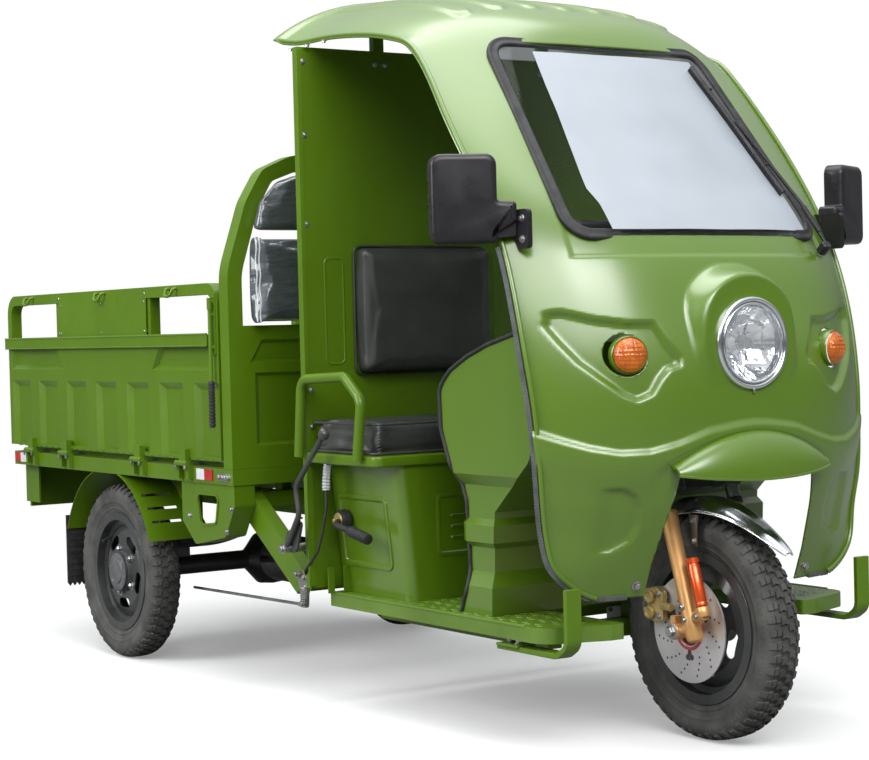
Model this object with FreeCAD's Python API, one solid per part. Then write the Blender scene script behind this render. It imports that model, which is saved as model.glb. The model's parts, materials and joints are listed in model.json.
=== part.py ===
import FreeCAD, Part
import math
import os

# Electric cargo tricycle: open-sided cab over one steered front wheel, drop-side bed over two rear wheels.
# Millimetres. Front faces -Y, +Z up. Every station y is measured back from the front axle, every height z
# from the ground; the finished pieces are moved once so that the origin is under the middle of the vehicle.

V = FreeCAD.Vector

# Whole vehicle
HEAD_Y = 1242.0            # front face of the headboard
BED_LENGTH = 1458.0        # headboard's front face to the rear end of the bed's rails
AXLE_SET = 774.0           # rear axle behind the headboard's front face
GATE_PAST = 25.0           # the side gates run past the bed's rails
FRONT_REACH = 260.0        # tip of the front mudguard, ahead of the front axle
REAR_TRACK = 937.0
WHEELBASE = HEAD_Y + AXLE_SET
BED_REAR_Y = HEAD_Y + BED_LENGTH
REAR_REACH = BED_REAR_Y + GATE_PAST
ORIGIN_SHIFT = (REAR_REACH - FRONT_REACH) / 2

GAP = 0.4                  # named clearance between pieces that seat on each other
SHEET = 2.0                # pressed steel sheet
TUBE_R = 12.5              # round steel tube, 25 mm across

# Wheels
TYRE_R = 252.5
TYRE_W = 95.0
RIM_SEAT_R = 152.0
RIM_FLANGE_R = 171.0
RIM_W = 74.0
HUB_R = 38.0

# Fork and steering
RAKE = 16.5                # degrees, head leans back
AXIS_TRAIL_Y = -20.0       # where the steering axis passes the height of the axle
LEG_X = 100.0
LEG_AHEAD = 35.0           # fork legs stand this far ahead of the steering axis
LEG_R = 20.0
DISC_R = 120.0
DISC_X = -64.0

# Cab
SHELL_WALL = 4.0
CAB_WALL_Y = 915.0
CAB_WALL_HALF = 500.0
CAB_WALL_LOW = 300.0
CAB_WALL_TOP = 1636.0
FLOOR_Z = 288.0
FLOOR_HALF = 450.0
SEAT_Z = 638.0             # top of the seat shelf
SEAT_DEEP = 315.0
SEAT_FRONT_Y = CAB_WALL_Y - SEAT_DEEP
SHELF_HALF = 505.0

# Bed
BED_HALF = 535.0
BED_FRONT_Y = HEAD_Y + 62
BED_RAIL_LOW = 540.0
BED_RAIL_TOP = 582.0
BED_FLOOR_Z = 594.0
GATE_TOP = 1070.0
GATE_MID = 935.0           # top of the solid panel and of the tailgate
GATE_DEEP = 34.0           # gate frame, outside to inside
GATE_LOW = 603.0
HINGE_X = BED_HALF + 15.0
HINGE_Z = 590.0
HINGE_Y = BED_REAR_Y + 13.0
HEAD_DEEP = 48.0
HEAD_TOP = 1402.0
PRESSING = 13.0            # depth of the recesses pressed into gates and headboard
POCKETS = 7                # recesses along a side gate
POCKET_PITCH = 209.0
POCKET_LONG = 140.0
MID_PROUD = 12.0           # the gates' middle rail stands this far out

# Lamps and screen
LAMP_Y = -153.0
LAMP_Z = 886.0
LAMP_R = 102.0
SIGNAL_X = 297.5
SIGNAL_Y = -100.0
SIGNAL_Z = 868.0
SIGNAL_R = 44.0
SCREEN_BOTTOM = (346.6, 1136.0)     # corners of the clear glass
SCREEN_TOP = (302.0, 1579.0)
SEAL_W = 26.0
HOOD_HALF = 226.0
HOOD_CLEAR = 3.0           # sealant gap behind the hood's root
LAMP_RING_R = LAMP_R + 13
BOSS_R = LAMP_RING_R + 4   # moulded collar that carries the headlamp
FASCIA_WALL = 3.0

# Under the bed and the floor
FENDER_R = 290.0           # front mudguard, from the axle to its crest
FLOOR_RIM = 34.0           # depth of the floor's rolled rim
RAIL_DEEP = 56.0
RAIL_LOW_Z = FLOOR_Z - FLOOR_RIM - RAIL_DEEP / 2 - 2 * GAP      # middle of the long rails, under the floor
RAIL_HIGH_Z = BED_RAIL_LOW - 72                                 # and under the bed
RAIL_WIDE = 40.0
STRUT_X = 450.0            # slanted struts from the cab floor up to the bed
POST_Y = 286.0             # post that carries the head tube, inside the leg shield
SPRING_X = REAR_TRACK / 2 - 143.5
RAIL_X = SPRING_X - 85
GUARD_R = 300.0            # rear guards, round the rear axle
GUARD_IN = REAR_TRACK / 2 - 68.5
GUARD_OUT = REAR_TRACK / 2 + 71.5
HINGES_Y = [HEAD_Y + set_back for set_back in (258, 538, 1038, 1298)]
BEAMS_Y = [HEAD_Y + set_back for set_back in (258, 518, 778, 1038, 1238)]

rake_tan = math.tan(math.radians(RAKE))
rake_sin = math.sin(math.radians(RAKE))
rake_cos = math.cos(math.radians(RAKE))
STEER_DIR = V(0, rake_sin, rake_cos)
STEER_FWD = V(0, -rake_cos, rake_sin)


def box(x0, x1, y0, y1, z0, z1):
    return Part.makeBox(x1 - x0, y1 - y0, z1 - z0, V(x0, y0, z0))


def rod(start, end, r):
    run = end.sub(start)
    return Part.makeCylinder(r, run.Length, start, run)


def fuse(shapes):
    whole = shapes[0]
    if len(shapes) > 1:
        whole = whole.multiFuse(shapes[1:])
    return whole.removeSplitter()


def mirrored(shape):
    return shape.mirror(V(0, 0, 0), V(1, 0, 0))


def pair(shape):
    return Part.makeCompound([shape, mirrored(shape)])


def bent_path(points, radius):
    """Straight runs through the points, joined by tangent arcs of one radius."""
    edges = []
    last = points[0]
    for i in range(1, len(points) - 1):
        corner = points[i]
        a = points[i - 1].sub(corner).normalize()
        b = points[i + 1].sub(corner).normalize()
        half = a.getAngle(b) / 2
        cut = radius / math.tan(half)
        start = corner.add(V(a).multiply(cut))
        end = corner.add(V(b).multiply(cut))
        inward = V(a).add(b).normalize()
        middle = corner.add(inward.multiply(radius / math.sin(half) - radius))
        if last.distanceToPoint(start) > 1e-6:
            edges.append(Part.LineSegment(last, start).toShape())
        edges.append(Part.Arc(start, middle, end).toShape())
        last = end
    edges.append(Part.LineSegment(last, points[-1]).toShape())
    return Part.Wire(edges)


def tube(points, r, bend, wall=None):
    """Round tube, or bar when no wall is given, along a bent path."""
    path = bent_path(points, bend)
    start = points[0]
    run = points[1].sub(start)
    outer = Part.Wire(Part.makeCircle(r, start, run))
    solid = path.makePipeShell([outer], True, True)
    if wall:
        inner = Part.Wire(Part.makeCircle(r - wall, start, run))
        solid = solid.cut(path.makePipeShell([inner], True, True))
    return solid


def rounded(points, radii):
    """Closed wire through corner points, each corner eased by its radius."""
    count = len(points)
    edges = []
    starts = []
    for i in range(count):
        corner = points[i]
        if radii[i] <= 0:
            starts.append((corner, corner, None))
            continue
        a = points[i - 1].sub(corner).normalize()
        b = points[(i + 1) % count].sub(corner).normalize()
        half = a.getAngle(b) / 2
        cut = radii[i] / math.tan(half)
        inward = V(a).add(b).normalize()
        middle = corner.add(inward.multiply(radii[i] / math.sin(half) - radii[i]))
        starts.append((corner.add(V(a).multiply(cut)), corner.add(V(b).multiply(cut)), middle))
    for i in range(count):
        first, second, middle = starts[i]
        if middle is not None:
            edges.append(Part.Arc(first, middle, second).toShape())
        nxt = starts[(i + 1) % count][0]
        if second.distanceToPoint(nxt) > 1e-6:
            edges.append(Part.LineSegment(second, nxt).toShape())
    return Part.Wire(edges)


def plate_yz(outline, radii, x0, x1):
    """Plate cut to an outline of (y, z) corners, between two stations across."""
    wire = rounded([V(x0, y, z) for y, z in outline], radii)
    return Part.Face(wire).extrude(V(x1 - x0, 0, 0))


def plate_xz(outline, radii, y0, y1):
    wire = rounded([V(x, y0, z) for x, z in outline], radii)
    return Part.Face(wire).extrude(V(0, y1 - y0, 0))


def plate_xy(outline, radii, z0, z1):
    wire = rounded([V(x, y, z0) for x, y in outline], radii)
    return Part.Face(wire).extrude(V(0, 0, z1 - z0))


def ring_about_x(profile, x, y, z):
    """Solid of revolution about a wheel's axle from (along, radius) corners."""
    corners = [V(x + a, y, z + r) for a, r in profile]
    corners.append(corners[0])
    face = Part.Face(Part.makePolygon(corners))
    return face.revolve(V(x, y, z), V(1, 0, 0), 360)


def bar_yz(points, depth, x0, x1):
    """Bar of one depth along straight runs through (y, z) points, mitred at the bends."""
    over = []
    under = []
    for i, (y, z) in enumerate(points):
        across = []
        for a, b in zip(points[max(i - 1, 0):i + 1], points[max(i - 1, 0) + 1:i + 2]):
            across.append(V(0, a[1] - b[1], b[0] - a[0]).normalize())
        total = V(0, 0, 0)
        for normal in across:
            total = total.add(normal)
        step = V(total).multiply(depth / 2 * len(across) / total.Length ** 2)
        over.append(V(x0, y, z).add(step))
        under.append(V(x0, y, z).sub(step))
    corners = over + under[::-1]
    return Part.Face(Part.makePolygon(corners + corners[:1])).extrude(V(x1 - x0, 0, 0))


def sheet_loft(sections):
    """Solid drawn smoothly through closed sections with straight sides."""
    wires = [Part.makePolygon(section + section[:1]) for section in sections]
    return Part.makeLoft(wires, True, False)


def inset(corners, margins):
    """Corners of a polygon, wound to the left, with each side moved in by its own margin."""
    moved = []
    count = len(corners)
    lines = []
    for i in range(count):
        a = corners[i]
        b = corners[(i + 1) % count]
        length = math.hypot(b[0] - a[0], b[1] - a[1])
        nx = (a[1] - b[1]) / length
        ny = (b[0] - a[0]) / length
        lines.append((nx, ny, nx * a[0] + ny * a[1] + margins[i]))
    for i in range(count):
        ax, ay, ad = lines[i - 1]
        bx, by, bd = lines[i]
        turn = ax * by - ay * bx
        moved.append(((ad * by - ay * bd) / turn, (ax * bd - ad * bx) / turn))
    return moved


def recess(place, corners, slopes, depth):
    """Pressed recess with sloping walls; place turns (along, up, outwards) into a point."""
    out = 1.0
    mouth = inset(corners, [-slope * out / depth for slope in slopes])
    foot = inset(corners, slopes)
    wires = []
    for ring, level in ((mouth, out), (foot, -depth)):
        points = [place(u, z, level) for u, z in ring]
        wires.append(Part.makePolygon(points + points[:1]))
    return Part.makeLoft(wires, True, True)


def steer_y(z):
    """Station of the steering axis at a height."""
    return AXIS_TRAIL_Y + (z - TYRE_R) * rake_tan


def on_fork(along, ahead, x):
    """Point in the fork's own directions: up along the axis from axle height, and ahead of it."""
    base = V(x, AXIS_TRAIL_Y, TYRE_R)
    return base.add(V(STEER_DIR).multiply(along)).add(V(STEER_FWD).multiply(ahead))


# Moulded cab: arches across the vehicle, one per station. Each runs from a crown point on the centre line
# to a point on the side edge, and bends towards the side by a power law.
# (edge y, edge z, edge half width, crown y, crown z, power)
ARCHES = [
    (4, 352, 415, -45, 340, 2.6),
    (8, 420, 444, -77, 416, 2.8),
    (14, 491, 457, -108, 488, 2.85),
    (8, 567, 468, -135, 566, 2.85),
    (7, 662, 474, -150, 662, 2.85),
    (12, 756, 480, -154, 756, 2.85),
    (27, 859, 487, -143, 859, 2.85),
    (47, 955, 490, -115, 955, 2.85),
    (95, 1099, 489, -58, 1099, 2.85),
    (195, 1266, 491, 75, 1266, 2.85),
    (312, 1419, 487, 201, 1419, 2.85),
    (417, 1544, 475, 305, 1544, 2.9),
    (463, 1583, 474, 345, 1594, 3.0),
    (520, 1603, 473, 405, 1655, 3.2),
    (600, 1620, 472, 510, 1705, 3.3),
    (720, 1636, 472, 680, 1742, 3.2),
    (852, 1645, 472, 852, 1766, 3.1),
    (970, 1650, 472, 970, 1778, 3.0),
    (1070, 1668, 474, 1070, 1786, 3.0),
]
ARCH_STEPS = [0.0, 0.3, 0.55, 0.75, 0.89, 1.0]


def arch_point(arch, t):
    """Point on an arch, t = 0 at the crown and 1 at the side edge."""
    edge_y, edge_z, half, crown_y, crown_z, power = arch
    share = abs(t) ** power
    y = crown_y + (edge_y - crown_y) * share
    z = crown_z + (edge_z - crown_z) * share
    return V(half * t, y, z)


def cab_surface():
    """One smooth surface over all the arches."""
    steps = [-t for t in reversed(ARCH_STEPS[1:])] + ARCH_STEPS
    grid = [[arch_point(arch, t) for t in steps] for arch in ARCHES]
    surface = Part.BSplineSurface()
    surface.interpolate(grid)
    return surface


def skin(surface, low, high):
    """Solid between two offsets from the moulded surface, positive outwards."""
    sign = 1.0 if surface.normal(0.3, 0.5).y < 0 else -1.0
    face = surface.toShape()
    if abs(low) > 1e-6:
        face = face.makeOffsetShape(sign * low, 0.01)
    return face.makeOffsetShape(sign * (high - low), 0.01, fill=True)


def screen_prism(grow):
    """Outline of the windscreen seen from the front, grown by a margin."""
    bx = SCREEN_BOTTOM[0] + grow
    tx = SCREEN_TOP[0] + grow
    low = SCREEN_BOTTOM[1] - grow * 0.8
    top = SCREEN_TOP[1] + grow * 0.8
    corners = [(-bx, low), (bx, low), (tx, top), (-tx, top)]
    return plate_xz(corners, [34 + grow, 34 + grow, 40 + grow, 40 + grow], -400, 640)


def arch_cutter():
    """Space for the wheel: between the legs of the shell, under the hood."""
    corners = [(-224, 250), (224, 250), (222, 414), (208, 524), (186, 640), (-186, 640), (-208, 524), (-222, 414)]
    return plate_xz(corners, [0, 0, 60, 60, 40, 40, 60, 60], -500, 60)


def shell_y(x, z):
    """Station of the moulded surface at a place across and a height, below the windscreen."""
    for low, high in zip(ARCHES, ARCHES[1:]):
        if low[4] <= z <= high[4]:
            share = (z - low[4]) / (high[4] - low[4])
            edge, _, half, crown, _, power = [a + (b - a) * share for a, b in zip(low, high)]
            return crown + (edge - crown) * (abs(x) / half) ** power
    raise ValueError("outside the moulded surface")


def cab_shell(surface):
    shell = skin(surface, -SHELL_WALL, 0)
    shell = shell.cut(screen_prism(SEAL_W / 2))
    shell = shell.cut(arch_cutter())
    face = LAMP_Y + 4 + GAP
    collar = Part.makeCone(BOSS_R, BOSS_R + 18, 84, V(0, face, LAMP_Z), V(0, 1, 0))
    bowl = Part.makeCone(BOSS_R - 10, BOSS_R + 8, 84.5, V(0, face - 0.1, LAMP_Z), V(0, 1, 0))
    ahead = skin(surface, -SHELL_WALL, 90).common(collar)
    seat = Part.makeCylinder(LAMP_RING_R + GAP, 200, V(0, face - 200, LAMP_Z), V(0, 1, 0))
    shell = shell.fuse(ahead).cut(bowl).cut(seat).removeSplitter()
    for side in (-1, 1):
        shell = shell.cut(signal_body(side, SIGNAL_R + GAP, -60, 80))
    return shell


def signal_body(side, r, back, front):
    """Cylinder on the axis of a turn signal."""
    centre = V(side * SIGNAL_X, SIGNAL_Y, SIGNAL_Z)
    out = V(side * 0.35, -1, 0).normalize()
    return Part.makeCylinder(r, front - back, centre.add(V(out).multiply(back)), out)


def windscreen_glass(surface):
    return skin(surface, -SHELL_WALL, -0.6).common(screen_prism(SEAL_W / 2 - GAP))


def windscreen_seal(surface):
    ring = screen_prism(SEAL_W).cut(screen_prism(0))
    return skin(surface, GAP, 6).common(ring)


def headlamp():
    """Round lamp: bowl behind and domed lens in front."""
    rim = LAMP_R - 6
    profile = [V(0, LAMP_Y - 14, LAMP_Z), V(0, LAMP_Y - 12, LAMP_Z + 50), V(0, LAMP_Y - 2, LAMP_Z + rim),
               V(0, LAMP_Y + 6, LAMP_Z + rim), V(0, LAMP_Y + 112, LAMP_Z + 44), V(0, LAMP_Y + 112, LAMP_Z)]
    face = Part.Face(Part.makePolygon(profile + profile[:1]))
    return face.revolve(V(0, 0, LAMP_Z), V(0, 1, 0), 360)


def headlamp_ring():
    """Bright ring around the lens, seated on the nose."""
    inner = LAMP_R - 6 + GAP
    outer = LAMP_RING_R
    section = [V(0, LAMP_Y - 2, LAMP_Z + inner), V(0, LAMP_Y - 8, LAMP_Z + inner + 6),
               V(0, LAMP_Y - 2, LAMP_Z + outer), V(0, LAMP_Y + 4, LAMP_Z + outer),
               V(0, LAMP_Y + 4, LAMP_Z + inner)]
    face = Part.Face(Part.makePolygon(section + section[:1]))
    return face.revolve(V(0, 0, LAMP_Z), V(0, 1, 0), 360)


def turn_signals():
    lamps = []
    for side in (-1, 1):
        centre = V(side * SIGNAL_X, SIGNAL_Y, SIGNAL_Z)
        out = V(side * 0.35, -1, 0).normalize()
        base = signal_body(side, SIGNAL_R, -12, 14)
        dome = Part.makeSphere(60, centre.add(V(out).multiply(-28)))
        cap = signal_body(side, SIGNAL_R - 5, 5, 60)
        lamps.append(base.fuse(dome.common(cap)).removeSplitter())
    return Part.makeCompound(lamps)


def wheel_hood():
    """Beaked hood over the wheel arch, its root seated on the nose."""
    sections = []
    for i in range(-6, 7):
        t = i / 6.0
        u = 1 - t * t
        x = HOOD_HALF * t
        root_z = 626 + 68 * u
        lip_z = 616 - 22 * u
        lip_y = shell_y(x, lip_z) - 12 - 46 * u
        root_y = shell_y(x, root_z) - HOOD_CLEAR
        inner_y = shell_y(x, root_z - SHELL_WALL) - HOOD_CLEAR
        sections.append([V(x, root_y, root_z), V(x, lip_y, lip_z), V(x, lip_y + SHELL_WALL, lip_z - 1),
                         V(x, inner_y, root_z - SHELL_WALL)])
    return sheet_loft(sections)


def cab_rear_wall():
    """Flat pressed wall behind the driver, flanged all round, with a header up to the roof."""
    half = CAB_WALL_HALF
    tray = box(-half, half, CAB_WALL_Y, CAB_WALL_Y + 22, CAB_WALL_LOW, CAB_WALL_TOP)
    inner = box(-half + SHEET, half - SHEET, CAB_WALL_Y + SHEET, CAB_WALL_Y + 30,
                CAB_WALL_LOW + SHEET, CAB_WALL_TOP - SHEET)
    wall = tray.cut(inner)
    posts = []
    for side in (-1, 1):
        posts.append(box(side * 260 - 15, side * 260 + 15, CAB_WALL_Y + SHEET, CAB_WALL_Y + 22,
                         CAB_WALL_TOP - 60, CAB_WALL_TOP + 104))
    return fuse([wall] + posts)


def floor_pan():
    """Tread-plate floor with a rolled rim, open between its two arms for the wheel."""
    outline = [(-FLOOR_HALF, 30), (-300, -20), (-262, -20), (-262, 316), (262, 316), (262, -20), (300, -20),
               (FLOOR_HALF, 30), (FLOOR_HALF, CAB_WALL_Y - 3), (-FLOOR_HALF, CAB_WALL_Y - 3)]
    radii = [60, 20, 10, 60, 60, 10, 20, 60, 10, 10]
    pan = plate_xy(outline, radii, FLOOR_Z - FLOOR_RIM, FLOOR_Z)
    hollow_at = [(-FLOOR_HALF + 3, 31), (-299, -17), (-265, -17), (-265, 319), (265, 319), (265, -17), (299, -17),
                 (FLOOR_HALF - 3, 31), (FLOOR_HALF - 3, CAB_WALL_Y - 6), (-FLOOR_HALF + 3, CAB_WALL_Y - 6)]
    hollow = plate_xy(hollow_at, [57, 17, 7, 63, 63, 7, 17, 57, 7, 7], FLOOR_Z - 40, FLOOR_Z - 3)
    return pan.cut(hollow)


def inner_fascia():
    """Moulded leg shield around the steering column: a hollow box with cheeks beside the wheel."""
    outline = [(40, 905), (120, 925), (250, 896), (330, 870), (425, 815), (435, 770), (410, 670), (385, 625),
               (318, 550), (308, 480), (310, 395), (322, 330), (322, FLOOR_Z + GAP), (262, FLOOR_Z + GAP),
               (250, 520), (110, 640), (60, 760)]
    radii = [15, 20, 30, 40, 30, 30, 30, 20, 30, 30, 30, 10, 0, 0, 60, 60, 40]
    body = plate_yz(outline, radii, -415, 415)
    inside = [(46, 898), (122, 918), (248, 889), (326, 864), (418, 811), (428, 770), (404, 672), (379, 629),
              (311, 553), (302, 480), (304, 395), (316, 332), (316, 200), (268, 200), (256, 524), (114, 646),
              (66, 762)]
    hollow = plate_yz(inside, [9, 14, 24, 34, 24, 24, 24, 14, 24, 24, 24, 4, 0, 0, 54, 54, 34],
                      -415 + FASCIA_WALL, 415 - FASCIA_WALL)
    shell = body.cut(hollow)
    column = Part.makeCylinder(44, 900, V(0, steer_y(500), 500), STEER_DIR)
    return shell.cut(column)


def seat_box():
    """Moulded box under the bench, over the batteries."""
    outline = [(-440, 590), (-440, SEAT_Z - 12), (440, SEAT_Z - 12), (440, 590), (408, FLOOR_Z + GAP),
               (-408, FLOOR_Z + GAP)]
    box_ = plate_xz(outline, [0, 12, 12, 0, 8, 8], SEAT_FRONT_Y + 4, CAB_WALL_Y - 4)
    inner = plate_xz([(-436, 588), (-436, SEAT_Z - 16), (436, SEAT_Z - 16), (436, 588), (404, FLOOR_Z - 10),
                      (-404, FLOOR_Z - 10)], [0, 8, 8, 0, 4, 4], SEAT_FRONT_Y + 8, CAB_WALL_Y - 8)
    shelf = box(-SHELF_HALF, SHELF_HALF, SEAT_FRONT_Y - 8, CAB_WALL_Y - GAP, SEAT_Z - 12 + GAP, SEAT_Z)
    return box_.cut(inner), shelf


def battery_block():
    return box(-330, 330, SEAT_FRONT_Y + 30, 880, FLOOR_Z + GAP, FLOOR_Z + 230)


def cushion(x, y0, y1, z0, z1, r):
    pad = box(-x, x, y0, y1, z0, z1)
    return pad.makeFillet(r, pad.Edges)


def seat_cushion():
    return cushion(SHELF_HALF - 5, SEAT_FRONT_Y, CAB_WALL_Y - 2, SEAT_Z + GAP, SEAT_Z + 80, 16)


def seat_back():
    return cushion(371, CAB_WALL_Y - 62, CAB_WALL_Y - GAP, 822, 1147, 12)


def arm_rails():
    """Tube hoops at the ends of the bench, standing on the shelf."""
    x = SHELF_HALF + TUBE_R + GAP
    base = SEAT_Z - 10
    points = [V(x, 652, base), V(x, 628, 770), V(x, 700, 826), V(x, 905, 818), V(x, 925, base)]
    rail = tube(points, TUBE_R, 36)
    return pair(rail)


def mirror(side):
    """Door mirror: moulded housing open at the glass, on a bent arm from the shell."""
    hx, hy, hz = side * 558.6, 146.0, 1209.0
    corners = [(-50, -88), (50, -88), (50, 88), (-50, 88)]
    housing = plate_xz(corners, [22] * 4, -42, 42)
    front = [e for e in housing.Edges if e.CenterOfMass.y < -41]
    housing = housing.makeChamfer(14, front)
    housing = housing.cut(plate_xz(inset(corners, [9] * 4), [14] * 4, 34, 60))
    housing.rotate(V(0, 0, 0), V(0, 0, 1), side * 12)
    housing.translate(V(hx, hy, hz))
    arm = tube([V(side * 540, 108, 1150), V(side * 500, -10, 1138), V(side * 458, -18, 1135)], 8, 20)
    foot = box(side * 455 - 6, side * 455 + 6, -45, 15, 1095, 1175)
    return fuse([housing, arm, foot])


def wiper():
    """Arm and blade parked up the left edge of the windscreen."""
    pivot = V(345, -12, 1085)
    knee = V(322, 55, 1190)
    tip = V(228, 240, 1440)
    spindle = rod(pivot.add(V(0, -6, 5)), pivot.add(V(0, -26, 22)), 11)
    arm = tube([pivot.add(V(0, -18, 15)), knee.add(V(0, -30, 24)), tip.add(V(0, -24, 20))], 4, 30)
    return fuse([spindle, arm])


def headboard():
    """Front hoop of the bed with a pressed lower panel."""
    outer = [(-BED_HALF, BED_RAIL_TOP + GAP), (-BED_HALF, 1100), (-476, 1277), (-424, 1362), (-330, HEAD_TOP),
             (330, HEAD_TOP), (424, 1362), (476, 1277), (BED_HALF, 1100), (BED_HALF, BED_RAIL_TOP + GAP)]
    r = [0, 200, 120, 60, 110, 110, 60, 120, 200, 0]
    inner = [(-BED_HALF + 42, 955), (-BED_HALF + 42, 1092), (-440, 1258), (-396, 1332), (-318, HEAD_TOP - 42),
             (318, HEAD_TOP - 42), (396, 1332), (440, 1258), (BED_HALF - 42, 1092), (BED_HALF - 42, 955)]
    ri = [0, 160, 80, 30, 70, 70, 30, 80, 160, 0]
    hoop = plate_xz(outer, r, HEAD_Y, HEAD_Y + HEAD_DEEP).cut(plate_xz(inner, ri, HEAD_Y - 9, HEAD_Y + 99))

    def place(u, z, level):
        return V(u, HEAD_Y - level, z)

    low = BED_RAIL_TOP + 60
    wide = BED_HALF - 60
    hoop = hoop.cut(recess(place, [(-wide, 858), (wide, 858), (wide - 36, 918), (36 - wide, 918)],
                           [8, 12, 8, 12], PRESSING))
    count = 5
    pitch = 2 * wide / count
    for i in range(count):
        a = -wide + i * pitch + 14
        b = a + pitch - 28
        hoop = hoop.cut(recess(place, [(a, low), (b, low), (b, 832), (a, 832)], [8, 16, 8, 16], PRESSING))
    hollow = box(-wide, wide, HEAD_Y + PRESSING + SHEET, HEAD_Y + HEAD_DEEP + 9, low, 918)
    return hoop.cut(hollow)


def headboard_pads():
    """Two padded packs hung on the front of the hoop."""
    low = box(-250, 250, -28, 0, 950, 1188)
    low = low.makeFillet(12, low.Edges)
    up = plate_xz([(-240, 1196), (240, 1196), (205, 1372), (-205, 1372)], [14, 14, 20, 20], -26, 0)
    pads = []
    for pad in (low, up):
        pad.translate(V(0, HEAD_Y - GAP, 0))
        pads.append(pad)
    return Part.makeCompound(pads)


def bed_frame():
    """Base rails round the bed with their cross members."""
    x = BED_HALF
    outer = box(-x, x, HEAD_Y, BED_REAR_Y, BED_RAIL_LOW, BED_RAIL_TOP)
    inner = box(-x + 40, x - 40, HEAD_Y + 40, BED_REAR_Y - 40, BED_RAIL_LOW - 5, BED_RAIL_TOP + 5)
    pieces = [outer.cut(inner)]
    for y in BEAMS_Y:
        pieces.append(box(-x + 30, x - 30, y - 20, y + 20, BED_RAIL_LOW, BED_RAIL_TOP))
    return fuse(pieces)


def bed_floor():
    x = BED_HALF - GATE_DEEP - 8
    return box(-x, x, HEAD_Y + HEAD_DEEP + GAP, BED_REAR_Y - GATE_DEEP - 8, BED_RAIL_TOP + GAP, BED_FLOOR_Z)


def side_gate():
    """Left drop side: pressed panel below a standing middle rail, open rail frame above."""
    x = BED_HALF
    y0, y1 = BED_FRONT_Y, REAR_REACH
    inside = x - GATE_DEEP
    outline = [(y0, GATE_LOW), (y1, GATE_LOW), (y1, GATE_TOP), (y0, GATE_TOP)]
    gate = plate_yz(outline, [0, 0, 60, 60], inside, x)
    rail = 30.0
    window = [(y0 + rail, GATE_MID), (y1 - rail, GATE_MID), (y1 - rail, GATE_TOP - rail), (y0 + rail, GATE_TOP - rail)]
    gate = gate.cut(plate_yz(window, [0, 0, 30, 30], inside - 9, x + 9))

    def place(u, z, level):
        return V(x + level, u, z)

    foot = GATE_LOW + 8
    pocket_top = 806.0
    skin_x = x - PRESSING - SHEET
    gate = gate.cut(box(inside - 9, skin_x, y0 + rail, y1 - rail, foot + 14, GATE_MID - rail))
    for i in range(POCKETS):
        rear = y1 - 25 - i * POCKET_PITCH
        ahead = rear - POCKET_LONG
        gate = gate.cut(recess(place, [(ahead, foot), (rear, foot), (rear, pocket_top), (ahead, pocket_top)],
                               [0, 20, 18, 20], PRESSING))
        land = box(inside - 9, x - SHEET, rear + SHEET, rear + POCKET_PITCH - POCKET_LONG - SHEET, foot + 14,
                   pocket_top)
        if i > 0:
            gate = gate.cut(land)
    shelf_z = GATE_MID - 95
    top_z = GATE_MID - 31
    for a, b, lean_a, lean_b in ((y0 + 46, y0 + 396, 0, 50), (y1 - 425, y1 - 25, 50, 0)):
        corners = [(a, shelf_z), (b, shelf_z), (b - lean_b, top_z), (a + lean_a, top_z)]
        gate = gate.cut(recess(place, corners, [14, 10, 0, 10], PRESSING))
    ledge = box(x - SHEET, x + MID_PROUD, y0 + 40, y1, top_z, GATE_MID)
    posts = []
    for y in (y0 + 418, y1 - 390):
        posts.append(box(inside, x - 4, y - 16, y + 16, GATE_MID - 5, GATE_TOP - 5))
    return fuse([gate, ledge] + posts)


def tailgate():
    """Rear drop gate with the same pressed pockets as the sides."""
    half = BED_HALF - GATE_DEEP - 6
    y1 = BED_REAR_Y
    foot = GATE_LOW + 8
    panel = box(-half, half, y1 - GATE_DEEP, y1, GATE_LOW, GATE_MID)
    panel = panel.cut(box(-half + 30, half - 30, y1 - 99, y1 - PRESSING - SHEET, foot + 14, GATE_MID - 30))

    def place(u, z, level):
        return V(-u, y1 + level, z)

    count = 5
    pitch = (2 * half - 60) / count
    for i in range(count):
        a = -half + 30 + i * pitch + (pitch - POCKET_LONG) / 2
        b = a + POCKET_LONG
        panel = panel.cut(recess(place, [(a, foot), (b, foot), (b, 806), (a, 806)], [0, 20, 18, 20], PRESSING))
    return panel


def gate_hinges(moving):
    """Knuckles along the foot of the right-hand gate: the gate's own, or those on the rail."""
    pieces = []
    for y in HINGES_Y:
        if moving:
            pieces.append(rod(V(HINGE_X, y - 20, HINGE_Z), V(HINGE_X, y + 20, HINGE_Z), 8))
            pieces.append(box(BED_HALF - 2, HINGE_X, y - 18, y + 18, HINGE_Z + 3, GATE_LOW + 25))
        else:
            for end in (-1, 1):
                pieces.append(rod(V(HINGE_X, y + end * 21, HINGE_Z), V(HINGE_X, y + end * 34, HINGE_Z), 8))
                pieces.append(box(BED_HALF - 2, HINGE_X, y + end * 27.5 - 6.5, y + end * 27.5 + 6.5,
                                  BED_RAIL_LOW + 8, HINGE_Z - 3))
    return pieces


def tail_hinges(moving):
    pieces = []
    for x in (-330.0, 0.0, 330.0):
        if moving:
            pieces.append(rod(V(x - 20, HINGE_Y, HINGE_Z), V(x + 20, HINGE_Y, HINGE_Z), 7))
            pieces.append(box(x - 18, x + 18, BED_REAR_Y - 2, HINGE_Y, HINGE_Z + 3, GATE_LOW + 25))
        else:
            for end in (-1, 1):
                pieces.append(rod(V(x + end * 21, HINGE_Y, HINGE_Z), V(x + end * 34, HINGE_Y, HINGE_Z), 7))
                pieces.append(box(x + end * 27.5 - 6.5, x + end * 27.5 + 6.5, BED_REAR_Y - 2, HINGE_Y,
                                  BED_RAIL_LOW + 8, HINGE_Z - 3))
    return pieces


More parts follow.
